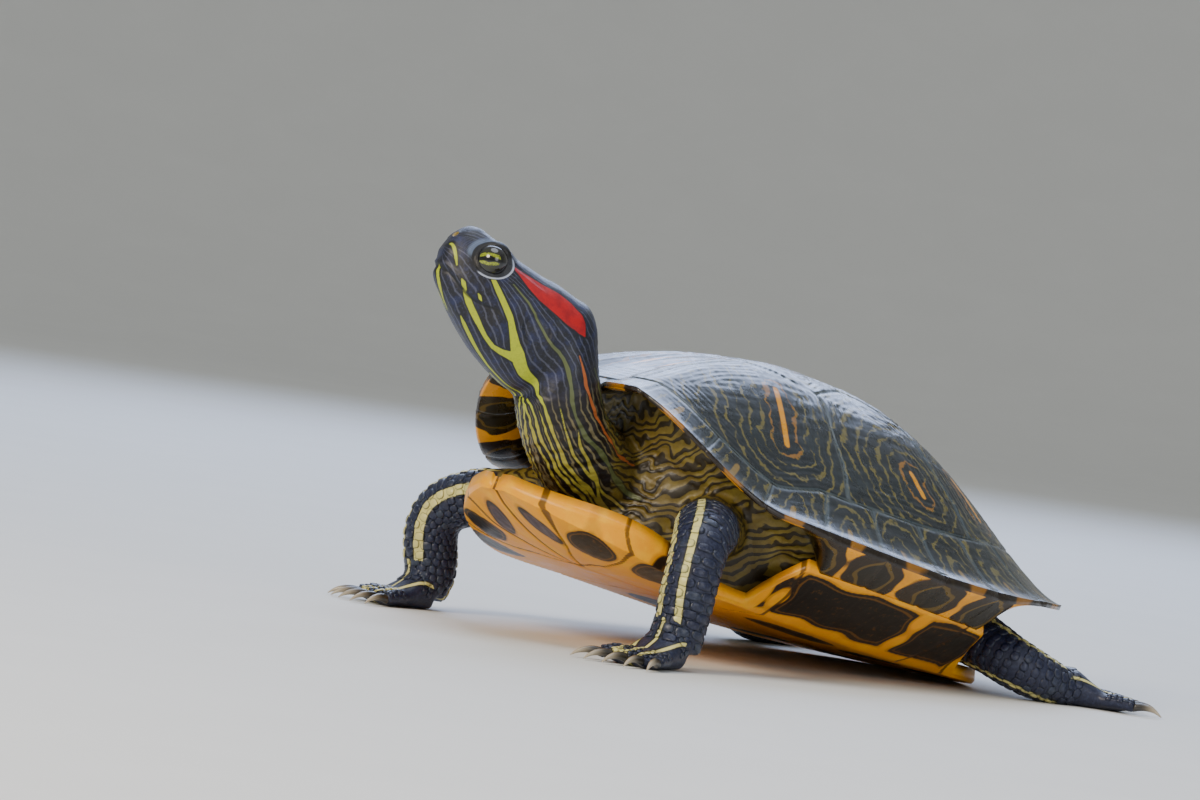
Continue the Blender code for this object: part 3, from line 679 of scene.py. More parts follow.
def carve_carapace(points, t, f, u):
    """Seam grooves, growth rings and worn wrinkles, cut into the smooth dome."""
    top = u < 0
    low = (u >= 0) & (u <= 1)
    index, across = marginal_of(t)
    seam = np.full(len(points), 20.0)
    seam[top] = distance_to(points[top], upper_seams())
    seam[low] = (np.minimum(across, 1 - across) * np.asarray(MARGINALS)[index])[low]
    bar, number, marginal, vertebral = bar_distances(points, t, f)
    depth = 0.55 * hill(seam, 0, 0.42) + 0.16 * hill(seam, 0, 1.5)
    ring = 0.5 + 0.5 * np.sin(2 * math.pi * (seam + 0.5 * ripple(points, 14, 1.0)) / 1.9)
    ring_depth = 0.20 * ring * smooth(0.8, 2.0, seam) * (1 - smooth(9, 14, seam)) * np.where(marginal, 0.45, 1.0)
    depth += np.where(top, ring_depth, 0.05 * ring)
    depth += np.where(top, 0.13 * (0.5 + 0.5 * ripple(points * (1, 2.2, 1), 5.5, 3.0)), 0.03)
    depth += np.where(top, 0.10 * (0.5 + 0.5 * ripple(points * (1.8, 0.8, 1), 3.1, 6.0)), 0.0)
    keel = hill(points[:, 0], 0, 3.2) * vertebral
    depth += np.where(top, 0.35 * (1 - keel), 0.1)
    way = unit(points - (0.0, 0.0, 12.0))
    out = points.copy()
    out[top] -= way[top] * depth[top, None]
    out[low, 2] += depth[low] * 0.6
    return out, seam, bar, number


# The dark eye-spots under the marginals: half length along the rim and half height.
OCELLUS = (10.3, 7.3)


def ocellus_field(t, u, f):
    """Distance from the nearest eye-spot under the rim, in shares of its own size."""
    index, across = marginal_of(t)
    half_turn = np.minimum(t, 2 * math.pi - t)
    # The spots lie on the seams, except for the front midline's.
    along = np.where(half_turn < SEAMS[0], 9.0, np.minimum(across, 1 - across) * np.asarray(MARGINALS)[index])
    drop = np.where(u >= 0, u * 10.0, (f - 1) * RIM_RUN)
    wobble = 0.06 * np.sin(half_turn * 40.0) + 0.05 * np.sin(half_turn * 91.0 + drop)
    return np.hypot(along / OCELLUS[0], (drop - 6.0) / OCELLUS[1]) + wobble


# ---------------------------------------------------------------- plastron shape
def plastron_level(y):
    """Height of the plastron's lower face at its midline."""
    front = clamp01((-58.0 - y) / 38.0)
    rear = clamp01((y - 8.0) / 62.0)
    return PLASTRON_FLOOR + FRONT_UPTURN * front**1.9 + REAR_UPTURN * rear**1.2


def lobe_rise(y, u):
    """How much the sides of the front lobe turn up."""
    along = np.sin(math.pi * clamp01((y + 97.0) / 47.0)) ** 1.5
    return LOBE_RISE * along * clamp01((u - 0.35) / 0.65) ** 2


def plastron_half(y):
    """Half width of the plastron without its bridges."""
    s = clamp01((y - PLASTRON_FRONT) / (-40 - PLASTRON_FRONT))
    front = 44.5 * (1 - (1 - s) ** 2.2) ** 0.75
    r = clamp01((PLASTRON_REAR - y) / (PLASTRON_REAR - 36))
    rear = 42.0 * (1 - (1 - r) ** 2.6) ** 0.6
    return np.where(y < -40, front, np.where(y > 36, rear, 44.5 - 2.5 * clamp01((y + 40) / 76)))


def rim_half(y):
    """Half width of the carapace's rim."""
    power = np.where(y < 0, FRONT_SQUARENESS, REAR_SQUARENESS)
    share = np.minimum(np.abs(y) / (SHELL_LENGTH / 2), 0.99)
    return SHELL_WIDTH / 2 * (1 - share**power) ** (1 / power) * (1 + REAR_WIDENING * y / (SHELL_LENGTH / 2))


def plastron_face(y, u):
    """Lower face at station y, u from the midline (0) to the edge (1)."""
    bridge = np.minimum(clamp01((y - BRIDGE_FRONT + 8) / 8), clamp01((BRIDGE_REAR + 8 - y) / 8))
    half = plastron_half(y)
    level = plastron_level(y)
    flat = half * (1 - 0.06 * bridge)
    s = clamp01((u - PLASTRON_FLAT) / (1 - PLASTRON_FLAT))
    beyond = flat + bridge * (rim_half(y) - BRIDGE_INSET - flat) * s + 0.8 * s * (1 - bridge)
    x = np.where(u <= PLASTRON_FLAT, flat * u / PLASTRON_FLAT, beyond)
    climb = 0.9 * s * (1 - bridge) + bridge * (BRIDGE_TOP - 0.2 - level) * s**1.2
    return np.stack([x, y + 0 * u, level + lobe_rise(y, u) + climb], axis=-1)


# Plastral seams: station at the midline, station at the edge, and how fast the line leaves the midline.
PLASTRON_SEAMS = (
    (-59.0, -91.0, -2.6), (-60.0, -76.0, 0.85), (-24.0, -33.0, 1.25), (16.0, 26.0, 1.25), (42.0, 36.0, 1.25),
)


def plastron_seam_y(seam, u):
    """Station of a plastral seam at share u of the way out."""
    middle, edge, power = seam
    share = u**power if power > 0 else 1 - (1 - clamp01(u)) ** -power
    return middle + (edge - middle) * share


def plastron_seam_gap(seam, u, y):
    """Distance from a plastral seam, allowing for its slant."""
    u = np.maximum(u, 0.02)
    per_share = (plastron_seam_y(seam, u + 0.01) - plastron_seam_y(seam, u - 0.01)) / 0.02
    slope = per_share * PLASTRON_FLAT / plastron_half(y)
    return np.abs(y - plastron_seam_y(seam, u)) / np.sqrt(1 + slope**2)


# A blotch on each scute: centre station, centre share out, half length, half width, turn in degrees.
PLASTRON_BLOTCHES = (
    (-84, 0.25, 7.5, 3.2, 18), (-77, 0.53, 7.2, 6.4, 70), (-61, 0.62, 8.5, 7.4, 30), (-4, 0.46, 14.0, 8.5, 5),
    (29, 0.42, 8.5, 8.5, 0), (54, 0.42, 8.0, 6.5, -10),
)


def plastron_marks(points, us):
    """Distance inside a dark blotch, or inside the bridge's dark of marks and painted shade, in millimetres; and 1 on
    the foremost blotch, which is greyer.
    """
    y = points[:, 1]
    ax = np.abs(points[:, 0])
    inside = np.full(len(points), -30.0)
    streak = np.zeros(len(points))
    for i, (cy, cu, long, wide, turn) in enumerate(PLASTRON_BLOTCHES):
        cx = float(plastron_face(np.array(float(cy)), np.array(cu))[0])
        a = math.radians(turn)
        dx, dy = ax - cx, y - cy
        p = dy * math.cos(a) + dx * math.sin(a)
        q = -dy * math.sin(a) + dx * math.cos(a)
        r = np.hypot(p / long, q / wide) + 0.05 * ripple(points, 9, i)
        d = (1 - r) * wide
        inside = np.maximum(inside, d)
        if i == 0:
            streak[d > -1.5] = 1.0
    # The bridge is dark nearly all over, with pale lines between its blotches: partly its own dark marks, partly
    # painted shade of the bridge lying in shadow.
    side = np.abs(us)
    band = np.minimum((side - 0.80) * 60, (0.985 - side) * 60)
    cell = 4.6 - 5.2 * np.abs(np.sin((y + 3) * math.pi / 44.0 + 0.6 * side)) ** 12
    bridge_dark_and_shade = np.minimum(np.minimum(band, cell), np.minimum(y + 36, 36 - y)) + 0.8 * ripple(points, 11, 4.0)
    return np.maximum(inside, bridge_dark_and_shade), streak


# Stations of the plastron's rows, closer at both ends and at the notches: first, last and number of rows.
PLASTRON_ROWS = (
    (-97.2, -91, 12), (-90, -44, 62), (-43, -26, 26), (-25, 24, 56), (25, 44, 26), (45, 64, 24), (64.8, 70.3, 9),
)


def build_plastron_shape():
    """Points of the lower and upper faces, the share out u of each, and the numbers of rows and columns."""
    stations = np.concatenate([np.linspace(*row) for row in PLASTRON_ROWS])
    half_u = np.concatenate([np.linspace(0, PLASTRON_FLAT, 42), np.linspace(PLASTRON_FLAT, 1.0, 22)[1:]])
    us = np.concatenate([-half_u[:0:-1], half_u])
    yy, uu = (grid.ravel() for grid in np.meshgrid(stations, us, indexing="ij"))
    low = plastron_face(yy, np.abs(uu))
    low[:, 0] *= np.sign(uu)
    y = low[:, 1].copy()
    ax = np.abs(low[:, 0])
    # The notches at the rear and front midline.
    low[:, 1] -= 2.5 * clamp01(1 - ax / 9) * clamp01((y - 62) / 8)
    low[:, 1] += 1.5 * clamp01(1 - ax / 5) * clamp01((-91 - y) / 6)
    high = low * (0.975, 0.995, 1.0)
    edge = np.abs(uu) > 0.9
    high[edge, 0] = low[edge, 0] * 0.985
    high[:, 2] += PLASTRON_THICKNESS + LOBE_THICKENING * clamp01((-45 - y) / 10)
    return low, high, uu, len(stations), len(us)


# ---------------------------------------------------------------- limbs, neck and head
def head_neck_rows():
    """Rings from the shell to the nose; the turn from neck to head is spread over the gap between them."""
    rows = path_rows(NECK_PATH, np.array((1.0, 0.0, 0.0)), NECK_RADII, 0.1).tolist()
    along = list(NECK_ALONG)
    for u, half, crown, chin, power in HEAD_STATIONS[1:]:
        middle = (crown + chin) * 0.5 + 0.6
        centre = head_point(u, 0.0, middle)
        rows.append([*centre, *HEAD_LEFT, *HEAD_UP, half - 0.1, crown - middle - 0.1, middle - chin - 0.1, power])
        along.append(u)
    return np.array(rows), np.array(along)


def sided(rows, tag):
    """Rings given for the left side, mirrored for the right."""
    return rows * np.where(np.isin(np.arange(rows.shape[-1]), (0, 3, 6)), -1, 1) if tag == "right" else rows


def arm_rows(tag):
    return sided(path_rows(ARM_PATHS[tag], unit((0.35, 1.0, 0.0)), ARM_RADII, 0.45), tag)


def upright_rows(path, radii, inset):
    """Rings of the leg or the tail, whose first radius is the upright one."""
    return path_rows(path, np.array((0.0, 0.0, 1.0)), [(r[1], r[0], r[0]) for r in radii], inset)


# Rings of the palm: place along the foot in shares of its length, half width in shares of its own, height, squareness.
PALM_RINGS = ((-0.42, 0.52, 8.6, 2.2), (-0.05, 0.70, 10.4, 2.2), (0.3, 0.80, 7.4, 2.3), (0.62, 0.92, 4.6, 2.4))
# Rings of a toe, knuckle by knuckle: share of its length, lift and radius.
TOE_RINGS = ((0, 0, 1.7), (0.25, 0.45, 1.85), (0.45, 0.6, 1.95), (0.66, 0.3, 1.7), (0.82, 0.35, 1.8), (0.97, 0.1, 1.35))
TOE_FAN = 26.0
FOOT_INSET = 0.35


def foot_plan(tag, stand, heading, sizes):
    """Rings of the palm, of each toe and of each claw."""
    width, length, toes, claw = sizes
    turn = math.radians(heading)
    slope = math.tan(BODY_PITCH)
    forward = unit((math.sin(turn), -math.cos(turn), -math.cos(turn) * slope))
    across = unit((math.cos(turn), math.sin(turn), math.sin(turn) * slope))
    up = np.cross(forward, across)
    up = up if up[2] > 0 else -up
    ground = np.array((stand[0], stand[1], floor_level(stand[1])))
    palm = []
    for s, half, top, power in PALM_RINGS:
        c = ground + forward * (length * s) + up * (top * 0.45)
        palm.append([*c, *across, *up, width * half - FOOT_INSET, top * 0.55 - FOOT_INSET, top * 0.5, power])
    c = ground + forward * length * 0.9 + up * 1.3
    palm.append([*c, *across, *up, width * 0.95 - FOOT_INSET, 1.0, 1.5, 2.4])
    digits, claws = [], []
    for share in (np.arange(toes) / (toes - 1) - 0.5) * 2:
        fan = math.radians(TOE_FAN * share)
        reach = 1.0 - 0.16 * share * share
        way = unit(forward * math.cos(fan) + across * math.sin(fan))
        side = unit(np.cross(up, way))
        start = ground + forward * length * 0.42 + across * (width * 0.72 * share) + up * 2.6
        knuckle = ground + forward * length * 0.62 + across * (width * 0.78 * share)
        end = knuckle + way * (length * 0.55 * reach) + up * 2.0
        rings = [(start + (end - start) * t + up * lift, r) for t, lift, r in TOE_RINGS]
        digits.append([[*c, *side, *up, r, r, r, 2.0] for c, r in rings])
        root, mid, tip = end - way * 0.9, end + way * (claw * 0.55) + up * 0.5, end + way * (claw * 0.98) - up * 1.5
        rings = []
        for t in np.linspace(0, 1, 9):
            c = (1 - t) ** 2 * root + 2 * t * (1 - t) * (mid + up * 0.75) + t * t * tip
            r = 1.22 * (1 - t) ** 0.75 + 0.16
            rings.append([*c, *side, *up, r * 0.86, r, r * 0.82, 2.0])
        claws.append(rings)
    return sided(np.array(palm), tag), sided(np.array(digits), tag), sided(np.array(claws), tag)


FEET = {
    "forefoot_left": ("left", *FOREFEET["left"], FOREFOOT),
    "forefoot_right": ("right", *FOREFEET["right"], FOREFOOT),
    "hind_foot_left": ("left", *HIND_STAND, HIND_FOOT),
    "hind_foot_right": ("right", *HIND_STAND, HIND_FOOT),
}
HEAD_ROWS, HEAD_ALONG = head_neck_rows()
LEG_ROWS = upright_rows(LEG_PATH, LEG_RADII, 0.45)
LIMBS = {
    "arm_left": arm_rows("left"), "arm_right": arm_rows("right"),
    "leg_left": LEG_ROWS, "leg_right": sided(LEG_ROWS, "right"), "tail": upright_rows(TAIL_PATH, TAIL_RADII, 0.3),
}


def palm_chart(foot):
    """Chart of a foot, run on past the palm over its toes."""
    palm = foot_plan(*foot)[0]
    tip = palm[-1].copy()
    tip[:3] += (palm[-1, :3] - palm[0, :3]) * 0.6
    return chart_of(np.vstack([palm, tip]))


TRUNK_ROWS = [[0, y, -2.0, 1, 0, 0, 0, 0, 1, 45.0, 20.0, 20.0, 2.0] for y in (-80.0, 0.0, 80.0)]
# Every part of the flesh has its own chart, in this order.
CHARTS = {"trunk": chart_of(TRUNK_ROWS), "head": Chart(HEAD_ROWS, HEAD_ALONG)}
CHARTS.update({name: chart_of(rows) for name, rows in LIMBS.items()})
CHARTS.update({name: palm_chart(foot) for name, foot in FEET.items()})
HEAD = CHARTS["head"]
PART = {name: i for i, name in enumerate(CHARTS)}
# Where each part lies on the unwrap: left, bottom, width, height.
ISLANDS = {
    "trunk": (0.64, 0.56, 0.34, 0.40), "head": (0.02, 0.56, 0.59, 0.40),
    "arm_left": (0.02, 0.30, 0.29, 0.21), "arm_right": (0.345, 0.30, 0.29, 0.21), "tail": (0.67, 0.30, 0.31, 0.21),
    "leg_left": (0.02, 0.04, 0.17, 0.21), "leg_right": (0.21, 0.04, 0.17, 0.21),
    "forefoot_left": (0.40, 0.04, 0.13, 0.21), "forefoot_right": (0.55, 0.04, 0.13, 0.21),
    "hind_foot_left": (0.70, 0.04, 0.13, 0.21), "hind_foot_right": (0.85, 0.04, 0.13, 0.21),
}


# The mouth line rises and dips before this length along the head, and falls away to the jaw's corner behind it.
MOUTH_BEND, MOUTH_HEIGHT = 23.0, -4.7


def mouth_level(u):
    """Height of the mouth line on the head, at distance u towards the nose."""
    front = MOUTH_HEIGHT - 1.5 * np.sin(math.pi * clamp01((u - MOUTH_BEND) / 13)) + 0.9 * clamp01((u - 36) / 4)
    back = MOUTH_HEIGHT - 7.8 * clamp01((MOUTH_BEND - u) / 20) ** 1.15
    return np.where(u > MOUTH_BEND, front, back)


def flesh_blank():
    """All the flesh as overlapping closed forms, joined into one object."""
    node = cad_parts["trunk"]
    trunk = node.copy()
    trunk.data = node.data.copy()
    for key in list(trunk.keys()):
        del trunk[key]
    trunk.parent = None
    trunk.name = "skin"
    bpy.context.scene.collection.objects.link(trunk)
    with edited(trunk.data) as bm:
        bmesh.ops.remove_doubles(bm, verts=bm.verts, dist=0.00001)
    tubes = [(HEAD_ROWS, 4, 56)] + [(rows, 4, 40) for rows in LIMBS.values()]
    for foot in FEET.values():
        palm, digits, _ = foot_plan(*foot)
        tubes += [(palm, 4, 32)] + [(toe, 3, 16) for toe in digits]
    parts = [trunk]
    for i, (rows, steps, sides) in enumerate(tubes):
        parts.append(new_piece(f"flesh_{i}", *loft(tidy_rings(through(rows, steps)), sides)))
    only(*parts)
    bpy.ops.object.join()
    return trunk


# Past this many radii from every limb and from the head, a point is the trunk's.
TRUNK_SHARE = 1.38
# Length along each chart that only loosely belongs to it, as the flesh there merges with the trunk.
HEAD_ROOT, LIMB_ROOT = 6.0, 9.0


def region_of(points):
    """The part of the flesh that each point belongs to, and its place on that part's chart."""
    region = np.zeros(len(points), int)
    where = CHARTS["trunk"].locate(points)
    best = np.full(len(points), TRUNK_SHARE)
    for name, chart in CHARTS.items():
        if name == "trunk":
            continue
        found = chart.locate(points)
        along = found[:, 0]
        start = 0.0 if "foot" in name else chart.along[0] + (HEAD_ROOT if name == "head" else LIMB_ROOT)
        score = found[:, 3] + np.where(along < start, 0.06 * (start - along), 0.0)
        # Feet win over the limbs' ends, and the face over the trunk below it.
        if "foot" in name:
            score = np.where(along < 1.0, 9.0, score * 0.8)
        if name == "head":
            score = np.where(along > 20.0, score * 0.3, score)
        mine = score < best
        best = np.where(mine, score, best)
        region[mine] = PART[name]
        where[mine] = found[mine]
    return region, where


def unwrapped(region, where):
    """Place of each point on the skin's unwrap."""
    uv = np.zeros((len(region), 2))
    for name, (left, low, wide, high) in ISLANDS.items():
        mine = region == PART[name]
        along = CHARTS[name].along
        uv[mine, 0] = left + wide * clamp01((where[mine, 0] - along[0]) / (along[-1] - along[0]))
        uv[mine, 1] = low + high * (where[mine, 1] / (2 * math.pi) + 0.5)
    return uv


def smooth_weighted(mesh, weight, rounds):
    """Evens out the surface where weight is above 0."""
    start, end = whole_numbers(mesh.edges, "vertices", 2).reshape(-1, 2).T
    co = coords(mesh)
    n = len(co)
    count = np.maximum(np.bincount(start, minlength=n) + np.bincount(end, minlength=n), 1).astype(float)[:, None]
    for _ in range(rounds):
        total = [np.bincount(start, co[end, k], n) + np.bincount(end, co[start, k], n) for k in range(3)]
        co += (np.stack(total, axis=1) / count - co) * (0.5 * weight[:, None])
    set_coords(mesh, co)


def refine(mesh, chooser):
    """Splits the faces that chooser picks, by their centres in the shell frame."""
    with edited(mesh) as bm:
        picked = chooser(to_shell(np.array([f.calc_center_median()[:] for f in bm.faces])))
        edges = {e for f, p in zip(bm.faces, picked) if p for e in f.edges}
        bmesh.ops.subdivide_edges(bm, edges=list(edges), cuts=1, use_grid_fill=True)
        bmesh.ops.triangulate(bm, faces=[f for f in bm.faces if len(f.verts) > 4])


EYES = {"left": head_point(*EYE_AT), "right": head_point(EYE_AT[0], -EYE_AT[1], EYE_AT[2])}
# Half angles of the opening between the lids, along and up, in degrees; and how far from an eye they reach.
LID_OPEN = (79.0, 66.0)
LID_REACH = 9.5
NOSTRIL_AT = (42.3, 2.0, 5.2)
# The points where shape_head puts the nostrils.
NOSTRILS = []


def nostril_aims():
    return [head_point(NOSTRIL_AT[0], side * NOSTRIL_AT[1], NOSTRIL_AT[2]) for side in (1, -1)]


def eye_frame(tag):
    """Outward, rearward and up axes of an eye."""
    side = 1.0 if tag == "left" else -1.0
    out = unit(HEAD_LEFT * side * 0.955 + NOSE * 0.16 + HEAD_UP * 0.10)
    up = unit(HEAD_UP - out * (HEAD_UP @ out))
    return out, np.cross(up, out) * side, up


def eye_rim(points):
    """Millimetres inside the oval rim of the nearer eye's lids, and the shares of its lower rear and upper front."""
    lid, below, brow = np.full(len(points), OUTSIDE), np.zeros(len(points)), np.zeros(len(points))
    for tag, centre in EYES.items():
        _, rear, up = eye_frame(tag)
        d = points - centre
        a, h = -(d @ rear), d @ up
        toward = -(a * 0.87 + h * 0.49) / np.maximum(np.hypot(a, h), 0.1)
        a, h = a * 0.96 - h * 0.28, a * 0.28 + h * 0.96
        inside = np.where(np.linalg.norm(d, axis=1) < 9.0, (1 - np.hypot(a / 6.0, h / 5.0)) * 5.4, OUTSIDE)
        near = inside > lid
        below = np.where(near, smooth(0.1, 0.6, toward), below)
        brow = np.where(near, smooth(0.3, 0.8, -toward), brow)
        lid = np.maximum(lid, inside)
    return lid, below, brow


def shape_lids(points):
    """Opens each eye and rolls the lids round it."""
    points = points.copy()
    inside = EYE_RADIUS - 1.0
    for tag, centre in EYES.items():
        out, rear, up = eye_frame(tag)
        d = points - centre
        dist = np.linalg.norm(d, axis=1)
        near = dist < LID_REACH
        n = unit(d)
        a, h = n @ rear, n @ up
        angle = np.degrees(np.arccos(np.clip(n @ out, -1, 1)))
        flat = np.hypot(a, h) + 1e-9
        beyond = angle - 1 / np.hypot((a / flat) / LID_OPEN[0], (h / flat) / LID_OPEN[1])
        roll = EYE_RADIUS + 0.12 + 0.42 * smooth(0, 8, beyond) + np.where(h > 0, 0.35, 0.12) * smooth(4, 14, beyond)
        crease = 0.22 * hill(beyond, 17, 3.5) * smooth(30, 12, beyond)
        lid = np.maximum(dist - crease, roll * (1 - smooth(22, 40, beyond) * 0.35))
        new = np.where(beyond > 0, lid, inside + (EYE_RADIUS + 0.2 - inside) * smooth(-5, 0, beyond))
        new = np.where(angle > 100, dist, new)
        points[near] = centre + n[near] * new[near, None]
    return points


def shape_head(points):
    """Mouth line, jaw, nostrils, brow and the flat of the ear."""
    u, s, v = in_head(points)
    ax = np.abs(s)
    mine = (u > -9) & (u < 46) & (ax < 16) & (v > -22) & (v < 18)
    sideways = HEAD_LEFT[None] * np.sign(s)[:, None] * (ax / 9)[:, None]
    outward = unit(sideways + NOSE[None] * smooth(34, 41, u)[:, None] + 1e-6)
    # The mouth line, the step of the lower jaw under it and the beak's edge over it.
    d = v - mouth_level(u)
    front = smooth(19, 24, u)
    move = -0.55 * hill(d, 0, 0.32) * front
    move -= 0.55 * smooth(0.05, -0.35, d) * (1 - smooth(-2.5, -5.5, d)) * front
    move += 0.22 * hill(d, 0.75, 0.5) * front
    # The flat of the ear drum, behind the jaw's corner.
    ear = np.hypot((u - 11.5) / 4.3, (v + 2.4) / 3.8)
    move -= 0.45 * (1 - smooth(0.75, 1.05, ear)) - 0.12 * hill(ear, 1.15, 0.14)
    move += 0.35 * hill(d, -1.8, 1.6) * hill(u, 21, 4)
    # A low edge from the nostril over the eye: the brow.
    move += 0.45 * (hill(v, 9.2, 1.1) * smooth(23, 27, u) * (1 - smooth(35, 38, u)))
    # The roof over the eyes and over the snout is raised, and behind the eyes it is lower.
    top = smooth(6.5, 8.5, v)
    lift = 0.45 * hill(u, 30.5, 2.6) * hill(ax, 5.6, 2.2) * top
    lift += 0.4 * hill(u, 38.6, 2.8) * hill(ax, 0, 3.6) * top
    lift -= 0.7 * smooth(28.5, 25.0, u) * smooth(12, 18, u) * top
    points = points + np.outer(np.where(mine, lift, 0.0), HEAD_UP)
    # The tip of the lower jaw stands back under the beak.
    back = 0.9 * smooth(0.5, -2.6, v) * (1 - 0.55 * smooth(-4.2, -6.5, v)) * smooth(33, 40, u)
    points = points - np.outer(np.where(mine, back, 0.0), NOSE)
    nape = 0.9 * hill(u, -1.0, 5.0) * smooth(1, 8, v) * (ax < 14)
    points = points + np.outer(np.where(mine, nape, 0.0), unit(HEAD_UP - 0.7 * NOSE))
    points = points + outward * np.where(mine, move, 0.0)[:, None]
    for side, aim in zip((1, -1), nostril_aims()):
        hole = points[np.argmin(np.linalg.norm(points - aim, axis=1))]
        NOSTRILS.append(hole)
        r = np.linalg.norm(points - hole, axis=1)
        lip = 0.16 * hill(r, 1.0, 0.3) - 1.0 * hill(r, 0, 0.52)
        points = points + (NOSE * 0.9 + HEAD_LEFT * side * 0.4) * np.where(r < 2.2, lip, 0.0)[:, None]
    return points


# ---------------------------------------------------------------- markings of skin and scales
# Each stripe runs along head and neck: (length, degrees from the crown, half width in mm), both sides alike.
YELLOW_STRIPES = {
    "eye": ((30.5, 80, 0.4), (26.2, 90, 0.75), (23, 97, 0.8), (19, 106, 0.8), (16, 117, 0.95), (13, 127, 1.4),
            (10.5, 133, 1.8), (7.5, 140, 1.55), (4, 145, 1.1), (0.5, 148, 0.6), (-4, 150, 0.4), (-15, 149, 0.4),
            (-27, 139, 0.55), (-38, 133, 0.7), (-50, 130, 0.6)),
    "jaw": ((32.4, 134, 0.3), (30, 136, 0.85), (27.7, 138, 0.85), (23.9, 140, 0.7), (20.6, 143, 0.6), (17.5, 144, 0.65),
            (15, 141, 0.8), (13, 137, 1.1), (11, 135, 1.2)),
    "lower_jaw": ((28.4, 156, 0.2), (26.5, 158, 0.7), (23, 161, 0.75), (19, 165, 0.65), (14.3, 169, 0.45),
                  (5, 171, 0.35), (-8, 170, 0.35), (-20, 164, 0.45), (-31, 150, 0.55), (-44, 146, 0.55)),
    "chin": ((40.6, 164, 0.4), (37.3, 170, 0.6), (34, 176, 0.4), (31, 178, 0.1)),
    "nose": ((41.9, 80, 0.25), (40.9, 92, 0.4), (39.3, 108, 0.42), (37.8, 119, 0.2)),
    "spot_upper": ((34.6, 126, 0.2), (33.5, 127.5, 0.7), (32.2, 129, 0.3)),
    "spot_lower": ((29.2, 117, 0.15), (28.3, 118, 0.45), (27.4, 119, 0.15)),
    "throat": ((12, 179, 0.2), (0, 180, 0.3), (-14, 178, 0.4), (-28, 166, 0.5), (-40, 158, 0.55)),
    "low_neck": ((-20, 113, 0.1), (-23, 115, 0.35), (-28, 116, 0.5), (-33, 121, 0.55), (-40, 130, 0.6),
                 (-43, 132, 0.3)),
    "neck_a": ((-14, 158, 0.1), (-22, 152, 0.35), (-34, 141, 0.4), (-44, 139, 0.35)),
    "neck_b": ((-14, 130, 0.1), (-20, 129, 0.3), (-28, 125, 0.35), (-38, 120, 0.4), (-44, 118, 0.35)),
}
OLIVE_STRIPES = {
    "cheek": ((24.5, 68, 0.15), (17.7, 75, 0.28), (12.8, 85, 0.3), (7.5, 95, 0.35), (3, 101, 0.45), (-5, 108, 0.6),
              (-13, 113, 0.5), (-17, 112, 0.45), (-22, 105, 0.6), (-27, 98, 0.65), (-34, 97, 0.65), (-44, 105, 0.65)),
    "crown": ((38, 10, 0.2), (30, 18, 0.3), (20, 16, 0.35), (8, 14, 0.35), (-4, 18, 0.4), (-16, 22, 0.4)),
    "nape": ((10, 0, 0.25), (0, 0, 0.4), (-20, 0, 0.5)),
    "side": ((-8, 62, 0.2), (-18, 58, 0.4), (-30, 52, 0.5)),
}
ORANGE_STRIPES = {
    "neck": ((-2, 82, 0.2), (-6, 86, 0.45), (-10, 88, 0.5), (-16, 84, 0.45), (-22, 79, 0.45), (-30, 76, 0.4),
             (-40, 76, 0.3)),
}
RED_STRIPES = {
    "ear": ((27.0, 47, 0.25), (24, 48, 0.85), (20, 50, 1.9), (16, 51, 2.7), (12, 50, 3.1), (8, 50, 3.2), (4.5, 53, 2.6),
            (2, 56, 1.6), (0.4, 59, 0.3)),
}
STRIPES = {"yellow": YELLOW_STRIPES, "olive": OLIVE_STRIPES, "orange": ORANGE_STRIPES, "red": RED_STRIPES}
# The fine lines run between these stripes, and these are the widths in millimetres between them, crown to throat.
GUIDES = (
    OLIVE_STRIPES["crown"], RED_STRIPES["ear"], OLIVE_STRIPES["cheek"], YELLOW_STRIPES["eye"],
    YELLOW_STRIPES["lower_jaw"],
)
GUIDE_WIDTHS = (3.2, 7.0, 8.0, 6.2, 8.4, 3.6)


def streams(where):
    """Arc length round head and neck, bent to run beside the stripes, in millimetres."""
    along, angle = where[:, 0], np.degrees(np.abs(where[:, 1]))
    guides = [np.zeros(len(along))]
    for marks in GUIDES:
        m = np.array(marks)[::-1]
        guides.append(np.interp(along, m[:, 0], m[:, 1]))
    guides.append(np.full(len(along), 180.0))
    total = np.zeros(len(along))
    for before, after, width in zip(guides, guides[1:], GUIDE_WIDTHS):
        total += width * clamp01((angle - before) / np.maximum(after - before, 1.0))
    return total


def stripe_depth(where, stripes):
    """Millimetres inside the nearest stripe of a set; below 0 outside."""
    along, angle, out = where[:, 0], np.degrees(np.abs(where[:, 1])), where[:, 2]
    # Down the neck the stripes waver, more so towards the shell.
    loose = smooth(-14, -32, along)
    angle = angle + loose * (2.2 * np.sin(along / 2.6 + angle / 16.0) + 0.9 * np.sin(along / 1.1 + angle / 9.0))
    thick = 1 + 0.22 * np.sin(along * 0.7 + angle / 11.0) * smooth(6, -8, along)
    depth = np.full(len(along), OUTSIDE)
    for marks in stripes:
        m = np.array(marks)[::-1]
        centre = np.interp(along, m[:, 0], m[:, 1])
        half = np.interp(along, m[:, 0], m[:, 2]) * thick
        lean = np.interp(along, m[:, 0], np.gradient(m[:, 1], m[:, 0])) * math.pi / 180 * out
        across = np.abs(angle - centre) * math.pi / 180 * out / np.sqrt(1 + lean**2)
        past = np.maximum(m[0, 0] - along, along - m[-1, 0])
        d = half - across
        d = np.where(past > 0, np.minimum(d, half - np.hypot(across, past)), d)
        depth = np.maximum(depth, d)
    return depth


# Yellow stripes down each limb: degrees round from its outer side towards the tail, half width.
ARM_STRIPES = ((-90.0, 1.5), (-34.0, 1.0), (150.0, 0.6))
LEG_STRIPES = ((60.0, 0.9), (-60.0, 0.6), (150.0, 0.6))
TOE_STRIPES = ((0.0, 0.5), (64.0, 0.45), (-64.0, 0.45), (180.0, 0.8))


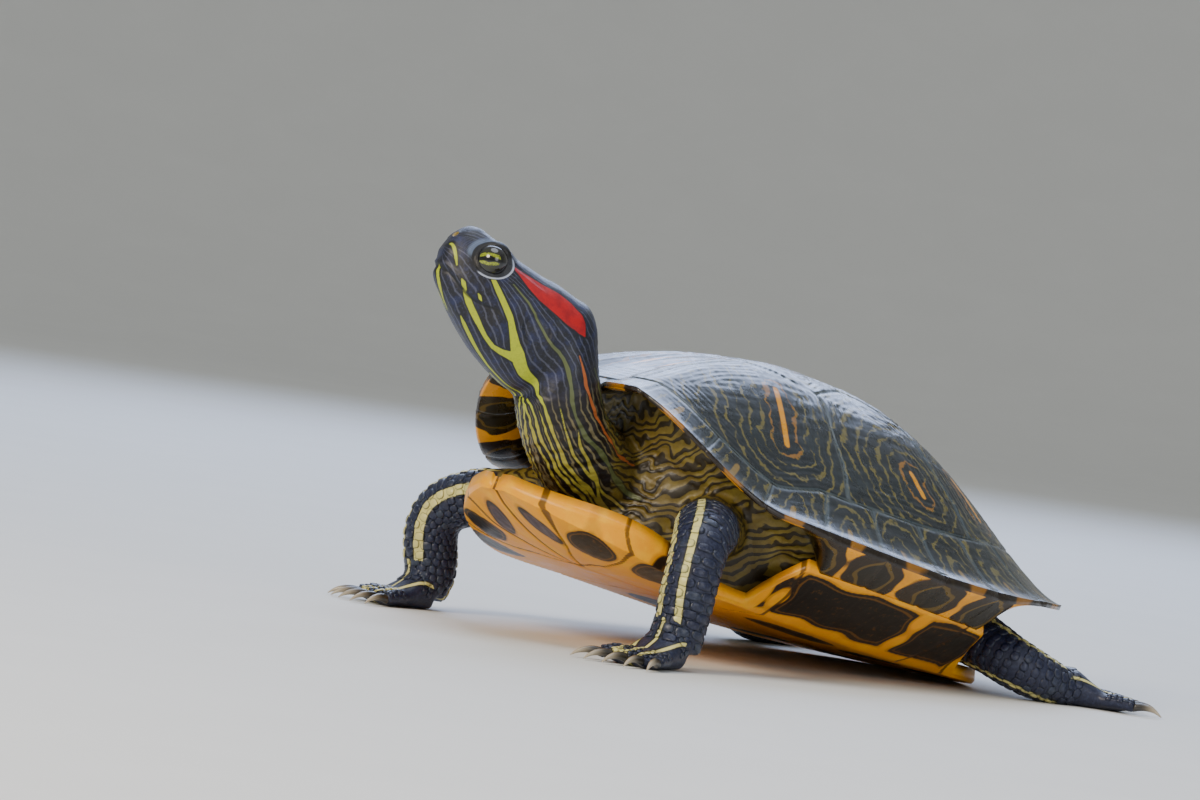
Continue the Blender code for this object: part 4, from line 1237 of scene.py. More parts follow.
def limb_stripe_depth(where, marks):
    """Millimetres inside the nearest of a limb's stripes; below 0 outside."""
    angle = np.degrees(where[:, 1])
    depth = np.full(len(where), OUTSIDE)
    for centre, half in marks:
        wander = 5 * np.sin(where[:, 0] / 6.0 + centre)
        gap = np.abs((angle - centre - wander + 180) % 360 - 180)
        depth = np.maximum(depth, half - gap * math.pi / 180 * where[:, 2])
    return depth


def markings(points):
    """Every marking of the flesh at these points, as named fields in millimetres or shares."""
    region, where = region_of(points)
    along = where[:, 0]
    head = region == PART["head"]
    foot = region >= PART["forefoot_left"]
    limb = region > PART["head"]
    fields = {}
    for key, stripes in STRIPES.items():
        fields[key] = np.full(len(points), OUTSIDE)
        fields[key][head] = stripe_depth(where[head], stripes.values())
    for name in CHARTS:
        mine = region == PART[name]
        if name not in ("trunk", "head"):
            marks = ARM_STRIPES if name.startswith("arm") else TOE_STRIPES if "foot" in name else LEG_STRIPES
            fields["yellow"][mine] = limb_stripe_depth(where[mine], marks)
    # The stripes run out to a point before the loose skin, and none crosses an eye.
    fields["yellow"] -= np.where(limb & ~foot, 2.2 * smooth(19, 10, along), 0.0)
    lid, below, brow = eye_rim(points)
    fields = {key: np.minimum(field, -0.25 - lid) for key, field in fields.items()}
    fields["lid"] = np.where(head, lid, OUTSIDE)
    fields["lower"] = np.where(head, below, 0.0)
    fields["brow"] = np.where(head, brow, 0.0)
    # How far down the neck, and how far into the loose skin of the pockets.
    neck = np.where(head, smooth(6, -28, along), 0.0)
    begin = np.interp(np.degrees(np.abs(where[:, 1])), (0, 58, 78, 120, 180), (-15.0, -15.0, -24.0, -36.0, -40.0))
    fan = np.where(region == PART["trunk"], 1.0, np.where(head, smooth(0, -9, along - begin), 0.0))
    fan = np.where(limb & ~foot, smooth(20, 11, along), fan)
    lane = np.zeros(len(points))
    lane[head] = streams(where[head])
    lane += (0.5 * ripple(points, 9, 5.0) + 0.2 * ripple(points, 3.5, 8.0)) * (0.35 + 0.65 * neck)
    fields.update(neck=neck, fan=fan, limb=np.where(limb, 1 - fan, 0.0), lane=lane, fold=fold_field(points))
    # Nostrils: the black centre that the material gives them is painted shade of the opening.
    fields["nostril"] = np.zeros(len(points))
    for hole in NOSTRILS:
        fields["nostril"] = np.maximum(fields["nostril"], 1.3 - np.linalg.norm(points - hole, axis=1))
    # Painted shade along the mouth line, in the groove where the jaws meet.
    u, _, v = in_head(points)
    fields["mouth"] = np.where(head & (u > 19), 0.45 - np.abs(v - mouth_level(u)), OUTSIDE)
    return fields


# Loose skin, in millimetres: where its bands circle, their spacing and depth, the finer wrinkles' depth, and how far
# all of it is set in.
FOLD_HUB = np.array((10.0, -78.0, 40.0))
FOLD_PITCH, FOLD_DEPTH, WRINKLE_DEPTH, LOOSE_INSET = 2.3, 0.22, 0.10, 0.25


def fold_field(points):
    """Wavy bands of the loose skin, one per unit: they circle the neck's root and wander."""
    d = points - FOLD_HUB
    reach = np.sqrt((d[:, 0] * 0.75) ** 2 + (d[:, 1] * 0.55) ** 2 + d[:, 2] ** 2)
    wander = 2.6 * ripple(points, 18, 2.0) + 1.3 * ripple(points, 7, 4.0) + 0.4 * ripple(points, 3, 1.0)
    return (reach + wander) / FOLD_PITCH


# ---------------------------------------------------------------- scales
SCALE_SIDES = 10
# Rings of a scale: size, height above the skin and share of the way in; the lowest is sunk in the skin.
SCALE_PROFILE = ((1.0, -0.3, 0.0), (1.0, 0.16, 0.0), (0.72, 0.36, 0.6))
SCALE_CREST = (0.0, 0.0, 0.44, 1.0)
# How near the skin must be, in millimetres, and half the size of a scale on the UV map.
SCALE_REACH, SCALE_ON_MAP = 4.0, 0.0015


def scale_rings(square):
    """Outline of one scale: across, to the tip, height above the skin, share of the way in from its edge."""
    a = 2 * math.pi * np.arange(SCALE_SIDES) / SCALE_SIDES + 0.3
    x, y = signed_power(np.cos(a), 2 / square), signed_power(np.sin(a), 2 / square)
    rings = [np.stack([x * size, y * size, 0 * x + high, 0 * x + share], 1) for size, high, share in SCALE_PROFILE]
    return np.vstack(rings + [SCALE_CREST])


def scale_faces():
    """Faces of one closed scale, by the order of the points of scale_rings."""
    n = SCALE_SIDES
    faces = grid_faces(3, n).tolist()
    faces += [[2 * n + k, 2 * n + (k + 1) % n, 3 * n] for k in range(n)]
    faces.append(list(range(n))[::-1])
    return faces


def on_ring(chart, along, angle):
    """Place on a chart's rings, its direction along, and its distance out."""
    along = np.clip(along, chart.along[0], chart.along[-1])

    def row_at(length):
        return np.array([np.interp(length, chart.along, column) for column in chart.rows.T])

    row = row_at(along)
    up_r = row[10] if math.cos(angle) > 0 else row[11]
    out = unit(row[3:6]) * math.sin(angle) * row[9] + unit(row[6:9]) * math.cos(angle) * up_r
    return row[:3] + out, unit(row_at(along + 1.0)[:3] - row_at(along - 1.0)[:3]), float(np.linalg.norm(out))


def scale_roots(chart, start, stop, pitch, sectors, seed):
    """Rows of scales round a chart. A sector is (from degrees, to degrees, width in mm, squareness)."""
    rng = np.random.default_rng(seed)
    roots = []
    count = max(2, int(round((stop - start) / pitch)))
    for i in range(count):
        along = start + (stop - start) * (i + 0.5) / count
        # Every other row is shifted, so the scales lie like bricks.
        shift = (0.5 if i % 2 else 0.0) - 0.25
        for low, high, width, square in sectors:
            radius = on_ring(chart, along, math.radians((low + high) / 2))[2]
            arc = math.radians(high - low) * radius
            n = max(1, int(round(arc / width)))
            for k in range(n):
                turn = math.radians(low + (high - low) * (k + 0.5 + shift * 0.9 + rng.uniform(-0.07, 0.07)) / n)
                at, way, _ = on_ring(chart, along + rng.uniform(-0.12, 0.12) * pitch, turn)
                size = rng.uniform(0.93, 1.03)
                roots.append((at, way, 0.5 * arc / n * size * 0.97, 0.5 * (stop - start) / count * size * 1.02, square))
    return roots


def lay_scales(name, skin_tree, roots):
    """Lays every scale on the skin, one solid each, and joins them into one piece."""
    points, faces, homes, shapes = [], [], [], []
    one_scale = scale_faces()
    for at, way, half_wide, half_long, square in roots:
        home, normal, _, gap = skin_tree.find_nearest(at)
        if home is None or gap > SCALE_REACH:
            continue
        home, normal = np.array(home), np.array(normal)
        way = unit(way - normal * (way @ normal))
        side = np.cross(way, normal)
        shape = scale_rings(square)
        first = len(points)
        faces += [[first + k for k in face] for face in one_scale]
        small = min(1.0, 0.55 + 0.2 * min(half_wide, half_long))
        for x, y, z, _ in shape:
            hit, face_normal, _, _ = skin_tree.find_nearest(home + side * (x * half_wide) + way * (y * half_long))
            # The tip of each scale stands up a little over the next one's root.
            lift = z * small + (0.14 * (0.5 + 0.5 * y) if z > 0 else 0.0)
            points.append(np.array(hit) + (0.6 * np.array(face_normal) + 0.4 * normal) * lift)
        homes.append(home)
        shapes.append(shape)
    points, homes, shapes = np.array(points), np.array(homes), np.array(shapes)
    obj = exact_piece(name, lifted(points, PIECE_LIFT), faces)
    atlas = unwrapped(*region_of(homes))
    uv = (atlas[:, None, :] + shapes[:, :, :2] * SCALE_ON_MAP).reshape(-1, 2)
    set_uv(obj.data, uv[whole_numbers(obj.data.loops, "vertex_index")])
    number = np.random.default_rng(len(homes)).uniform(0, 1, len(homes))
    put(obj.data, **markings(points), crest=shapes[:, :, 3], number=np.repeat(number, shapes.shape[1]))
    return obj


# Sectors of scales round arms, legs, feet and toes, and round the tail.
ARM_SECTORS = ((-118, -62, 3.0, 2.8), (-62, 18, 4.2, 3.2), (18, 70, 5.2, 3.4), (70, 242, 2.3, 2.3))
LEG_SECTORS = ((-60, 90, 3.0, 2.6), (90, 300, 2.4, 2.3))
PALM_SECTORS = ((-100, 100, 1.9, 2.4),)
TOE_SECTORS = ((-80, -27, 1.5, 2.6), (-27, 27, 1.9, 3.0), (27, 80, 1.5, 2.6))
TAIL_SECTORS = ((0, 360, 2.0, 2.4),)


def coat_plan():
    """The roots of the scales of each coat piece."""
    plan_of = {}
    for tag in ("left", "right"):
        arm, leg = CHARTS[f"arm_{tag}"], CHARTS[f"leg_{tag}"]
        plan_of[f"foreleg_scales_{tag}"] = scale_roots(arm, 19.0, arm.along[-1] - 0.5, 2.45, ARM_SECTORS, 3)
        plan_of[f"hindleg_scales_{tag}"] = scale_roots(leg, 14.0, leg.along[-1] - 1.0, 2.5, LEG_SECTORS, 4)
    for name, foot in FEET.items():
        palm = CHARTS[name]
        roots = scale_roots(palm, 1.5, palm.along[4] - 1.0, 1.75, PALM_SECTORS, 5)
        for digit in foot_plan(*foot)[1]:
            toe = chart_of(digit)
            roots += scale_roots(toe, 1.2, toe.along[-1] - 0.4, 1.5, TOE_SECTORS, 6)
        plan_of[f"{name}_scales"] = roots
    tail = CHARTS["tail"]
    plan_of["tail_scales"] = scale_roots(tail, 6.0, tail.along[-1] - 1.0, 2.0, TAIL_SECTORS, 7)
    return plan_of


# ---------------------------------------------------------------- materials
def linear(code):
    """An sRGB hex colour, as the linear values that a material takes."""
    parts = [int(code[i : i + 2], 16) / 255 for i in (1, 3, 5)]
    return tuple(c / 12.92 if c <= 0.04045 else ((c + 0.055) / 1.055) ** 2.4 for c in parts) + (1.0,)


def add_node(tree, kind, inputs=None, **settings):
    """Adds a node with its settings, and fills its sockets with links or values."""
    node = tree.nodes.new(kind)
    for key, value in settings.items():
        setattr(node, key, value)
    for key, value in (inputs or {}).items():
        if isinstance(value, bpy.types.NodeSocket):
            tree.links.new(value, node.inputs[key])
        else:
            node.inputs[key].default_value = value
    return node


def layered(tree, colour, layers):
    """Colour over colour: each layer comes in as its field goes from one value to another."""
    colour = linear(colour) if isinstance(colour, str) else colour
    for field, start, full, strength, tint in layers:
        span = {0: field, 1: start, 2: full, 3: 0.0, 4: strength}
        mask = add_node(tree, "ShaderNodeMapRange", span, interpolation_type="SMOOTHSTEP").outputs[0]
        over = linear(tint) if isinstance(tint, str) else tint
        colour = add_node(tree, "ShaderNodeMix", {0: mask, 6: colour, 7: over}, data_type="RGBA").outputs[2]
    return colour


def attributes_of(tree, *names):
    """The piece's own fields, as sockets."""
    return {name: add_node(tree, "ShaderNodeAttribute", attribute_name=name).outputs["Fac"] for name in names}


def noises(tree, **sizes):
    """Noise patterns by feature size in millimetres, on Object coordinates."""
    look = {"Vector": add_node(tree, "ShaderNodeTexCoord").outputs["Object"], "Detail": 4.0, "Roughness": 0.6}
    for name, size in sizes.items():
        sizes[name] = add_node(tree, "ShaderNodeTexNoise", {**look, "Scale": 1 / (size * MM)}).outputs[0]
    return sizes


def new_material(name, surface):
    """A fresh material whose shader has these constant values."""
    material = bpy.data.materials.new(name)
    material.use_nodes = True
    tree = material.node_tree
    tree.nodes.clear()
    shader = add_node(tree, "ShaderNodeBsdfPrincipled", surface)
    add_node(tree, "ShaderNodeOutputMaterial", {0: shader.outputs[0]})
    return material, tree, shader


def wear_material(obj, material):
    obj.data.materials.clear()
    obj.data.materials.append(material)


def link_surface(tree, shader, colour, wear, rough, grain, strength, distance):
    """Gives the shader its colour, a roughness between two values as wear varies, and a fine bump."""
    rough = add_node(tree, "ShaderNodeMapRange", {0: wear, 1: 0.3, 2: 0.7, 3: rough[0], 4: rough[1]}).outputs[0]
    fine = add_node(tree, "ShaderNodeBump", {"Strength": strength, "Distance": distance, "Height": grain}).outputs[0]
    for key, value in (("Base Color", colour), ("Roughness", rough), ("Normal", fine)):
        tree.links.new(value, shader.inputs[key])


SKIN_FIELDS = (
    "yellow", "olive", "orange", "red", "neck", "fan", "limb", "lane", "fold", "mouth", "lid", "lower", "brow",
    "nostril",
)
# Spacing of the fine lines on the skin and of the rings on the scutes, in millimetres.
LANE_PITCH, RING_PITCH = 1.5, 3.9


def skin_material(sizes, name="reptile_skin", scaly=False):
    # Living reptile skin: soft keratin, satin, with a damp film that gives it a broad soft shine.
    material, tree, shader = new_material(name, {"IOR": 1.45, "Coat Weight": 0.14, "Coat Roughness": 0.3})
    f = attributes_of(tree, *SKIN_FIELDS, *(("crest", "number") if scaly else ()))
    n = noises(tree, grain=0.7, mottle=3.0, patch=9.0)

    # Fine lines beside the stripes, and the wavy lines of the loose skin.
    def waves(field, rate, drift):
        phase = add_node(tree, "ShaderNodeMath", {0: field, 1: rate, 2: drift}, operation="MULTIPLY_ADD").outputs[0]
        return add_node(tree, "ShaderNodeMath", {0: phase}, operation="SINE").outputs[0]

    breaks = add_node(tree, "ShaderNodeMath", {0: n["mottle"], 1: 4.0}, operation="MULTIPLY").outputs[0]
    lanes = waves(f["lane"], 2 * math.pi / LANE_PITCH, breaks)
    folds = waves(f["fold"], 2 * math.pi, 0.0)
    pale = add_node(tree, "ShaderNodeMath", {0: lanes, 1: f["neck"]}, operation="MULTIPLY").outputs[0]

    # The pale edge of the lower lid, and a painted sheen on the brow before the upper one.
    rims = []
    for start, full, share in ((-0.15, 0.05, f["lower"]), (-1.6, -0.4, f["brow"])):
        rim = add_node(tree, "ShaderNodeMapRange", {0: f["lid"], 1: start, 2: full, 3: 0.0, 4: 1.0}).outputs[0]
        rims.append(add_node(tree, "ShaderNodeMath", {0: rim, 1: share}, operation="MULTIPLY").outputs[0])
    edge, painted_brow_sheen = rims
    face = layered(tree, sizes.skin_dark, (
        (n["mottle"], 0.42, 0.7, 0.75, "#1c2650"),
        (n["grain"], 0.5, 0.75, 0.3, "#4a4f72"),
        (lanes, 0.6, 0.97, 0.26, "#777c96"),
    ))
    neck = layered(tree, "#140f0e", (
        (n["mottle"], 0.45, 0.7, 0.5, "#241c22"),
        (pale, 0.25, 0.75, 0.75, "#7d7350"),
    ))
    limbs = layered(tree, "#161b34", ((n["grain"], 0.42, 0.7, 0.45, "#3c4460"),))
    red = layered(tree, sizes.ear_red, (
        (n["mottle"], 0.35, 0.65, 0.65, "#7a0010"),
        (n["grain"], 0.55, 0.8, 0.3, "#c42430"),
    ))
    stripe = layered(tree, sizes.stripe_yellow, (
        (n["grain"], 0.45, 0.7, 0.45, "#7f8f20"),
        (f["limb"], 0.1, 0.6, 0.9, "#d8cd84"),
        (f["neck"], 0.35, 0.95, 0.75, "#a39040"),
        (f["fan"], 0.02, 0.4, 0.9, "#a09048"),
    ))
    loose = layered(tree, "#6b5a22", (
        (n["patch"], 0.4, 0.65, 0.7, "#8a7a30"),
        (folds, 0.0, 0.45, 0.9, "#17110d"),
        (n["grain"], 0.5, 0.75, 0.35, "#4a3d22"),
    ))
    colour = layered(tree, face, (
        (f["neck"], 0.05, 0.75, 1.0, neck),
        (f["limb"], 0.2, 1.0, 1.0, limbs),
        (f["fan"], 0.25, 0.75, 1.0, loose),
        (f["olive"], -0.62, -0.25, 0.75, "#0c1014"),
        (f["olive"], -0.12, 0.12, 0.9, "#5a6238"),
        (f["orange"], -0.5, -0.2, 0.6, "#10161a"),
        (f["orange"], -0.12, 0.12, 1.0, "#a85a28"),
        (f["yellow"], -0.75, -0.3, 0.85, "#0a0d10"),
        (f["yellow"], -0.12, 0.12, 1.0, stripe),
        (f["red"], -0.85, -0.3, 0.85, "#0c1013"),
        (f["red"], -0.15, 0.15, 1.0, red),
        # Painted shade along the mouth line.
        (f["mouth"], -0.1, 0.35, 0.8, "#0b0f12"),
        (f["lid"], -0.35, -0.15, 0.6, "#0a0c12"),
        (edge, 0.0, 0.6, 0.95, "#aab2c6"),
        # Painted sheen: a pale blue highlight on the brow before the upper lid.
        (painted_brow_sheen, 0.2, 1.0, 0.42, "#7f93b4"),
        (f["lid"], 0.25, 0.5, 0.95, "#0c0b0d"),
        (f["nostril"], 0.2, 0.4, 0.85, "#8f7a34"),
        # The nostril's black centre is painted shade of its opening.
        (f["nostril"], 0.72, 0.85, 1.0, "#0a0806"),
    ))
    rough = (0.40, 0.56)
    if scaly:
        # Scales are harder and glossier than the skin, dark round their edges.
        rough = (0.30, 0.44)
        colour = layered(tree, colour, (
            (f["crest"], 0.45, 0.0, 0.6, "#11171a"),
            (f["number"], 0.6, 1.0, 0.15, "#55636b"),
        ))
    link_surface(tree, shader, colour, n["mottle"], rough, n["grain"], 0.5, 0.00012)
    return material


def carapace_material(sizes):
    # Horny scutes: dense keratin polished by water and sand, so a clear gloss over a dark body.
    material, tree, shader = new_material("scute_keratin", {"IOR": 1.47, "Coat Weight": 0.22, "Coat Roughness": 0.1})
    f = attributes_of(tree, "seam", "bar", "rim", "under", "ocellus", "number")
    n = noises(tree, grain=1.1, wander=7.0, breaks=6.0, patch=22.0)
    sway = add_node(tree, "ShaderNodeMath", {0: n["wander"], 1: 9.0, 2: f["bar"]}, operation="MULTIPLY_ADD").outputs[0]
    rings = add_node(tree, "ShaderNodeMath", {0: sway, 1: 2 * math.pi / RING_PITCH}, operation="MULTIPLY").outputs[0]
    rings = add_node(tree, "ShaderNodeMath", {0: rings}, operation="SINE").outputs[0]
    # The lines break up here and there.
    gaps = add_node(tree, "ShaderNodeMath", {0: n["breaks"], 1: -0.62}, operation="ADD").outputs[0]
    gaps = add_node(tree, "ShaderNodeMath", {0: gaps, 1: 2.2, 2: rings}, operation="MULTIPLY_ADD").outputs[0]
    gaps = add_node(tree, "ShaderNodeMath", {0: gaps, 1: -0.35}, operation="ADD").outputs[0]
    # Those next to a bar are orange, but not on the marginals, where bar and rings are olive.
    on_marginal = {0: f["number"], 1: FIRST_MARGINAL - 1.0, 2: FIRST_MARGINAL - 0.5}
    close = add_node(tree, "ShaderNodeMapRange", {0: f["bar"], 1: 4.0, 2: 9.0, 3: 0.0, 4: -1.0}).outputs[0]
    close = add_node(tree, "ShaderNodeMath", {0: close, 1: gaps}, operation="ADD").outputs[0]
    inner = add_node(tree, "ShaderNodeMapRange", {**on_marginal, 3: 0.0, 4: -3.0}).outputs[0]
    close = add_node(tree, "ShaderNodeMath", {0: close, 1: inner}, operation="ADD").outputs[0]
    outer = add_node(tree, "ShaderNodeMapRange", {**on_marginal, 3: 30.0, 4: 0.0}).outputs[0]
    edge_marks = add_node(tree, "ShaderNodeMath", {0: outer, 1: f["bar"]}, operation="ADD").outputs[0]
    top = layered(tree, sizes.shell_dark, (
        (n["patch"], 0.4, 0.7, 0.6, "#1c272c"),
        (gaps, 0.02, 0.35, 0.8, sizes.shell_line),
        (close, 0.0, 0.3, 0.8, "#8a5a14"),
        (n["grain"], 0.5, 0.8, 0.3, "#2b363b"),
        (f["bar"], 2.6, 1.9, 0.8, sizes.shell_dark),
        (f["bar"], 1.15, 0.7, 0.95, sizes.shell_bar),
        (edge_marks, 1.35, 0.75, 0.9, "#6e5f2a"),
        # Pale bluish edge on the shoulders of each seam groove: partly worn keratin, partly a painted highlight.
        (f["seam"], 1.1, 0.55, 0.4, "#5c6a72"),
        (f["seam"], 0.34, 0.16, 0.9, "#0a0e10"),
    ))
    eyed = layered(tree, sizes.under_orange, (
        (n["wander"], 0.45, 0.7, 0.45, "#c9841f"),
        (f["ocellus"], 1.06, 0.99, 0.98, "#0c0a08"),
        (f["ocellus"], 0.72, 0.68, 0.75, "#6e5518"),
        (f["ocellus"], 0.60, 0.56, 0.95, "#0c0a08"),
        (f["seam"], 0.5, 0.2, 0.8, "#2a2117"),
    ))
    edge = layered(tree, "#8f5f18", ((f["ocellus"], 1.2, 1.08, 0.97, "#14100c"),))
    colour = layered(tree, top, (
        (f["rim"], 0.992, 0.9945, 0.95, edge),
        (f["under"], -0.02, 0.015, 1.0, eyed),
        (f["under"], 1.2, 1.6, 1.0, "#3a3a2c"),
    ))
    link_surface(tree, shader, colour, n["wander"], (0.22, 0.36), n["grain"], 0.35, 0.00015)
    return material


def plastron_material(sizes):
    # The belly's scutes: the same keratin, unworn, yellow-orange with dark blotches; the bridge's dark is partly
    # painted shade.
    surface = {"IOR": 1.45, "Specular IOR Level": 0.3, "Coat Weight": 0.08, "Coat Roughness": 0.2}
    material, tree, shader = new_material("belly_keratin", surface)
    f = attributes_of(tree, "seam", "blotch", "streak")
    n = noises(tree, grain=1.4, wander=5.0)
    grey = add_node(tree, "ShaderNodeMath", {0: f["blotch"], 1: f["streak"]}, operation="MULTIPLY").outputs[0]
    colour = layered(tree, sizes.under_orange, (
        (n["wander"], 0.42, 0.7, 0.6, "#ffbe1e"),
        (f["blotch"], -0.7, -0.2, 0.4, "#9a5a14"),
        # Dark blotches; over the bridge this dark is partly painted shade.
        (f["blotch"], -0.15, 0.2, 0.98, "#120f0d"),
        (f["blotch"], 0.75, 0.95, 0.5, "#8a5a16"),
        (f["blotch"], 1.15, 1.4, 0.98, "#120f0d"),
        (grey, 0.2, 1.2, 0.7, "#4b3c4a"),
        (f["seam"], 0.62, 0.36, 0.8, "#2a1a0c"),
        (n["grain"], 0.55, 0.8, 0.2, "#c07a12"),
    ))
    link_surface(tree, shader, colour, n["wander"], (0.28, 0.44), n["grain"], 0.25, 0.00012)
    return material


def eye_material():
    # A wet cornea over the iris: nearly a mirror for small lights.
    surface = {"IOR": 1.38, "Coat Weight": 1.0, "Coat Roughness": 0.06, "Roughness": 0.2}
    material, tree, shader = new_material("wet_eye", surface)
    f = attributes_of(tree, "high", "oval", "reach")
    fleck = noises(tree, fleck=0.35)["fleck"]
    oval = add_node(tree, "ShaderNodeMath", {0: fleck, 1: 0.5, 2: f["oval"]}, operation="MULTIPLY_ADD").outputs[0]
    streaks = add_node(tree, "ShaderNodeMath", {0: fleck, 1: 0.9, 2: f["reach"]}, operation="MULTIPLY_ADD").outputs[0]
    colour = layered(tree, "#93a01a", (
        (fleck, 0.42, 0.62, 0.7, "#4d5212"),
        (oval, 1.2, 1.0, 0.95, "#0d0a06"),
        (oval, 1.75, 1.95, 0.95, "#0c0907"),
        (streaks, 3.0, 3.4, 1.0, "#0c0907"),
        (fleck, 0.66, 0.72, 0.45, "#6d6420"),
        (f["high"], 0.62, 0.42, 0.98, "#060505"),
        (f["reach"], 1.0, 0.85, 1.0, "#030303"),
    ))
    tree.links.new(colour, shader.inputs["Base Color"])
    return material


def claw_material():
    # Claws: solid horn, dark at the root and worn pale at the tip.
    surface = {"IOR": 1.54, "Coat Weight": 0.3, "Coat Roughness": 0.2, "Roughness": 0.35}
    material, tree, shader = new_material("claw_horn", surface)
    tip = attributes_of(tree, "tip")["tip"]
    grain = noises(tree, grain=0.8)["grain"]
    colour = layered(tree, "#2b2722", ((tip, 0.2, 0.8, 0.9, "#b3a58c"), (grain, 0.5, 0.8, 0.3, "#6b6048")))
    tree.links.new(colour, shader.inputs["Base Color"])
    return material


def floor_material():
    # Matt painted studio floor and cove.
    material, tree, shader = new_material("studio_paint", {"Roughness": 0.75})
    patch = noises(tree, patch=60.0)["patch"]
    colour = layered(tree, "#dcdcd8", ((patch, 0.3, 0.8, 0.25, "#e6e6e2"),))
    tree.links.new(colour, shader.inputs["Base Color"])
    return material


# ---------------------------------------------------------------- pieces
EYE_SIDES, CLAW_SIDES = 56, 14
CORNEA_BULGE = 0.12
# The studio, in metres.
FLOOR_SIDES = 96
COVE_START, COVE_RADIUS, COVE_TOP = 2.4, 1.4, 3.2
# Soft boxes: name, place, aim, width, share of the power and colour.
SOFT_BOXES = (
    ("back", (-0.95, 0.85, 1.0), (0.0, 0.0, 0.07), 1.2, 0.75, "#c3d6ff"),
    ("overhead", (0.1, 0.0, 1.5), (0.0, 0.0, 0.05), 1.0, 0.35, "#eaf1ff"),
    ("key", (0.25, -1.3, 0.75), (0.0, -0.03, 0.05), 0.5, 0.62, "#fff1dc"),
    ("fill", (1.5, -0.2, 0.5), (0.0, 0.0, 0.05), 0.8, 0.18, "#ffffff"),
)
# The camera's right, up and back axes; it is rolled, as the floor is level and the body keeps its angle to it.
CAMERA_AXES = ((0.641882, 0.753215, 0.143713), (-0.110917, -0.094246, 0.989351), (0.758739, -0.650987, 0.02305))
CAMERA_AT = (1.26003, -1.14596, 0.10256)
CAMERA_LENS = 188.62


def finish_piece(obj, material, nodes=()):
    """Gives a piece its material and its body, and hides the nodes that it stands for."""
    wear_material(obj, material)
    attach(obj, "root")
    if nodes:
        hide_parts(*nodes)


def colour_setting(name, text, code):
    return bpy.props.StringProperty(name=name, description=f"Colour of the {text}, as sRGB hex", default=code)


class SliderSizes(bpy.types.PropertyGroup):
    voxel: bpy.props.FloatProperty(
        name="Skin grain", description="Size of the skin's first faces", default=0.00075, min=0.0004, unit="LENGTH"
    )
    skin_dark: colour_setting("Skin", "ground of head and neck", "#0c0f1a")
    stripe_yellow: colour_setting("Stripes", "face and leg stripes", "#a9b41a")
    ear_red: colour_setting("Ear patch", "patch behind the eye", "#b0020c")
    shell_dark: colour_setting("Shell", "ground of the carapace", "#10181c")
    shell_line: colour_setting("Shell lines", "fine lines on the carapace", "#6d6430")
    shell_bar: colour_setting("Shell bars", "bar on each scute", "#d99200")
    under_orange: colour_setting("Underside", "plastron and the marginals below", "#f6a400")
    lamp: bpy.props.FloatProperty(
        name="Light", description="Power that the soft boxes take their shares of", default=26.0, min=1.0, unit="POWER"
    )


class SLIDER_OT_carapace(bpy.types.Operator):
    """Builds the upper shell with its scutes, growth rings and the eyed undersides of its marginals"""

    bl_idname = "slider.carapace"
    bl_label = "Carapace"

    def execute(self, context):
        points, faces, t, f, u = build_carapace_shape()
        carved, seam, bar, number = carve_carapace(points, t, f, u)
        obj = exact_piece("scutes", to_world(carved), faces)
        put(obj.data, seam=seam, bar=bar, rim=f, under=u, ocellus=ocellus_field(t, u, f), number=number)
        finish_piece(obj, carapace_material(context.scene.slider), ("carapace",))
        return {"FINISHED"}


class SLIDER_OT_plastron(bpy.types.Operator):
    """Builds the lower shell with its seams, notches and blotches"""

    bl_idname = "slider.plastron"
    bl_label = "Plastron"

    def execute(self, context):
        low, high, u, rows, cols = build_plastron_shape()
        seam = np.minimum(np.abs(low[:, 0]), 30.0)
        for pair in PLASTRON_SEAMS:
            wavy = low[:, 1] - 0.7 * ripple(low, 14, pair[0])
            seam = np.minimum(seam, plastron_seam_gap(pair, np.abs(u), wavy))
        blotch, streak = plastron_marks(low, u)
        groove = 0.4 * hill(seam, 0, 0.4) + 0.05 * np.sin(seam * 3.4) * smooth(0.5, 2, seam)
        low = low + np.outer(groove, (0, 0, 1))
        # The lower face, the upper one and a wall round their edge.
        n = len(low)
        bottom = grid_faces(rows, cols, wrap=False)
        rim = [*range(0, (rows - 1) * cols, cols), *range((rows - 1) * cols, rows * cols)]
        rim += [*range((rows - 1) * cols - 1, cols - 1, -cols), *range(cols - 1, 0, -1)]
        wall = [[a, b, b + n, a + n] for a, b in zip(rim, rim[1:] + rim[:1])]
        faces = bottom.tolist() + (bottom[:, ::-1] + n).tolist() + wall
        obj = exact_piece("belly_scutes", lifted(np.vstack([low, high]), SHELL_LIFT), faces)
        put(obj.data, seam=np.tile(seam, 2), blotch=np.tile(blotch, 2), streak=np.tile(streak, 2))
        finish_piece(obj, plastron_material(context.scene.slider), ("plastron",))
        return {"FINISHED"}


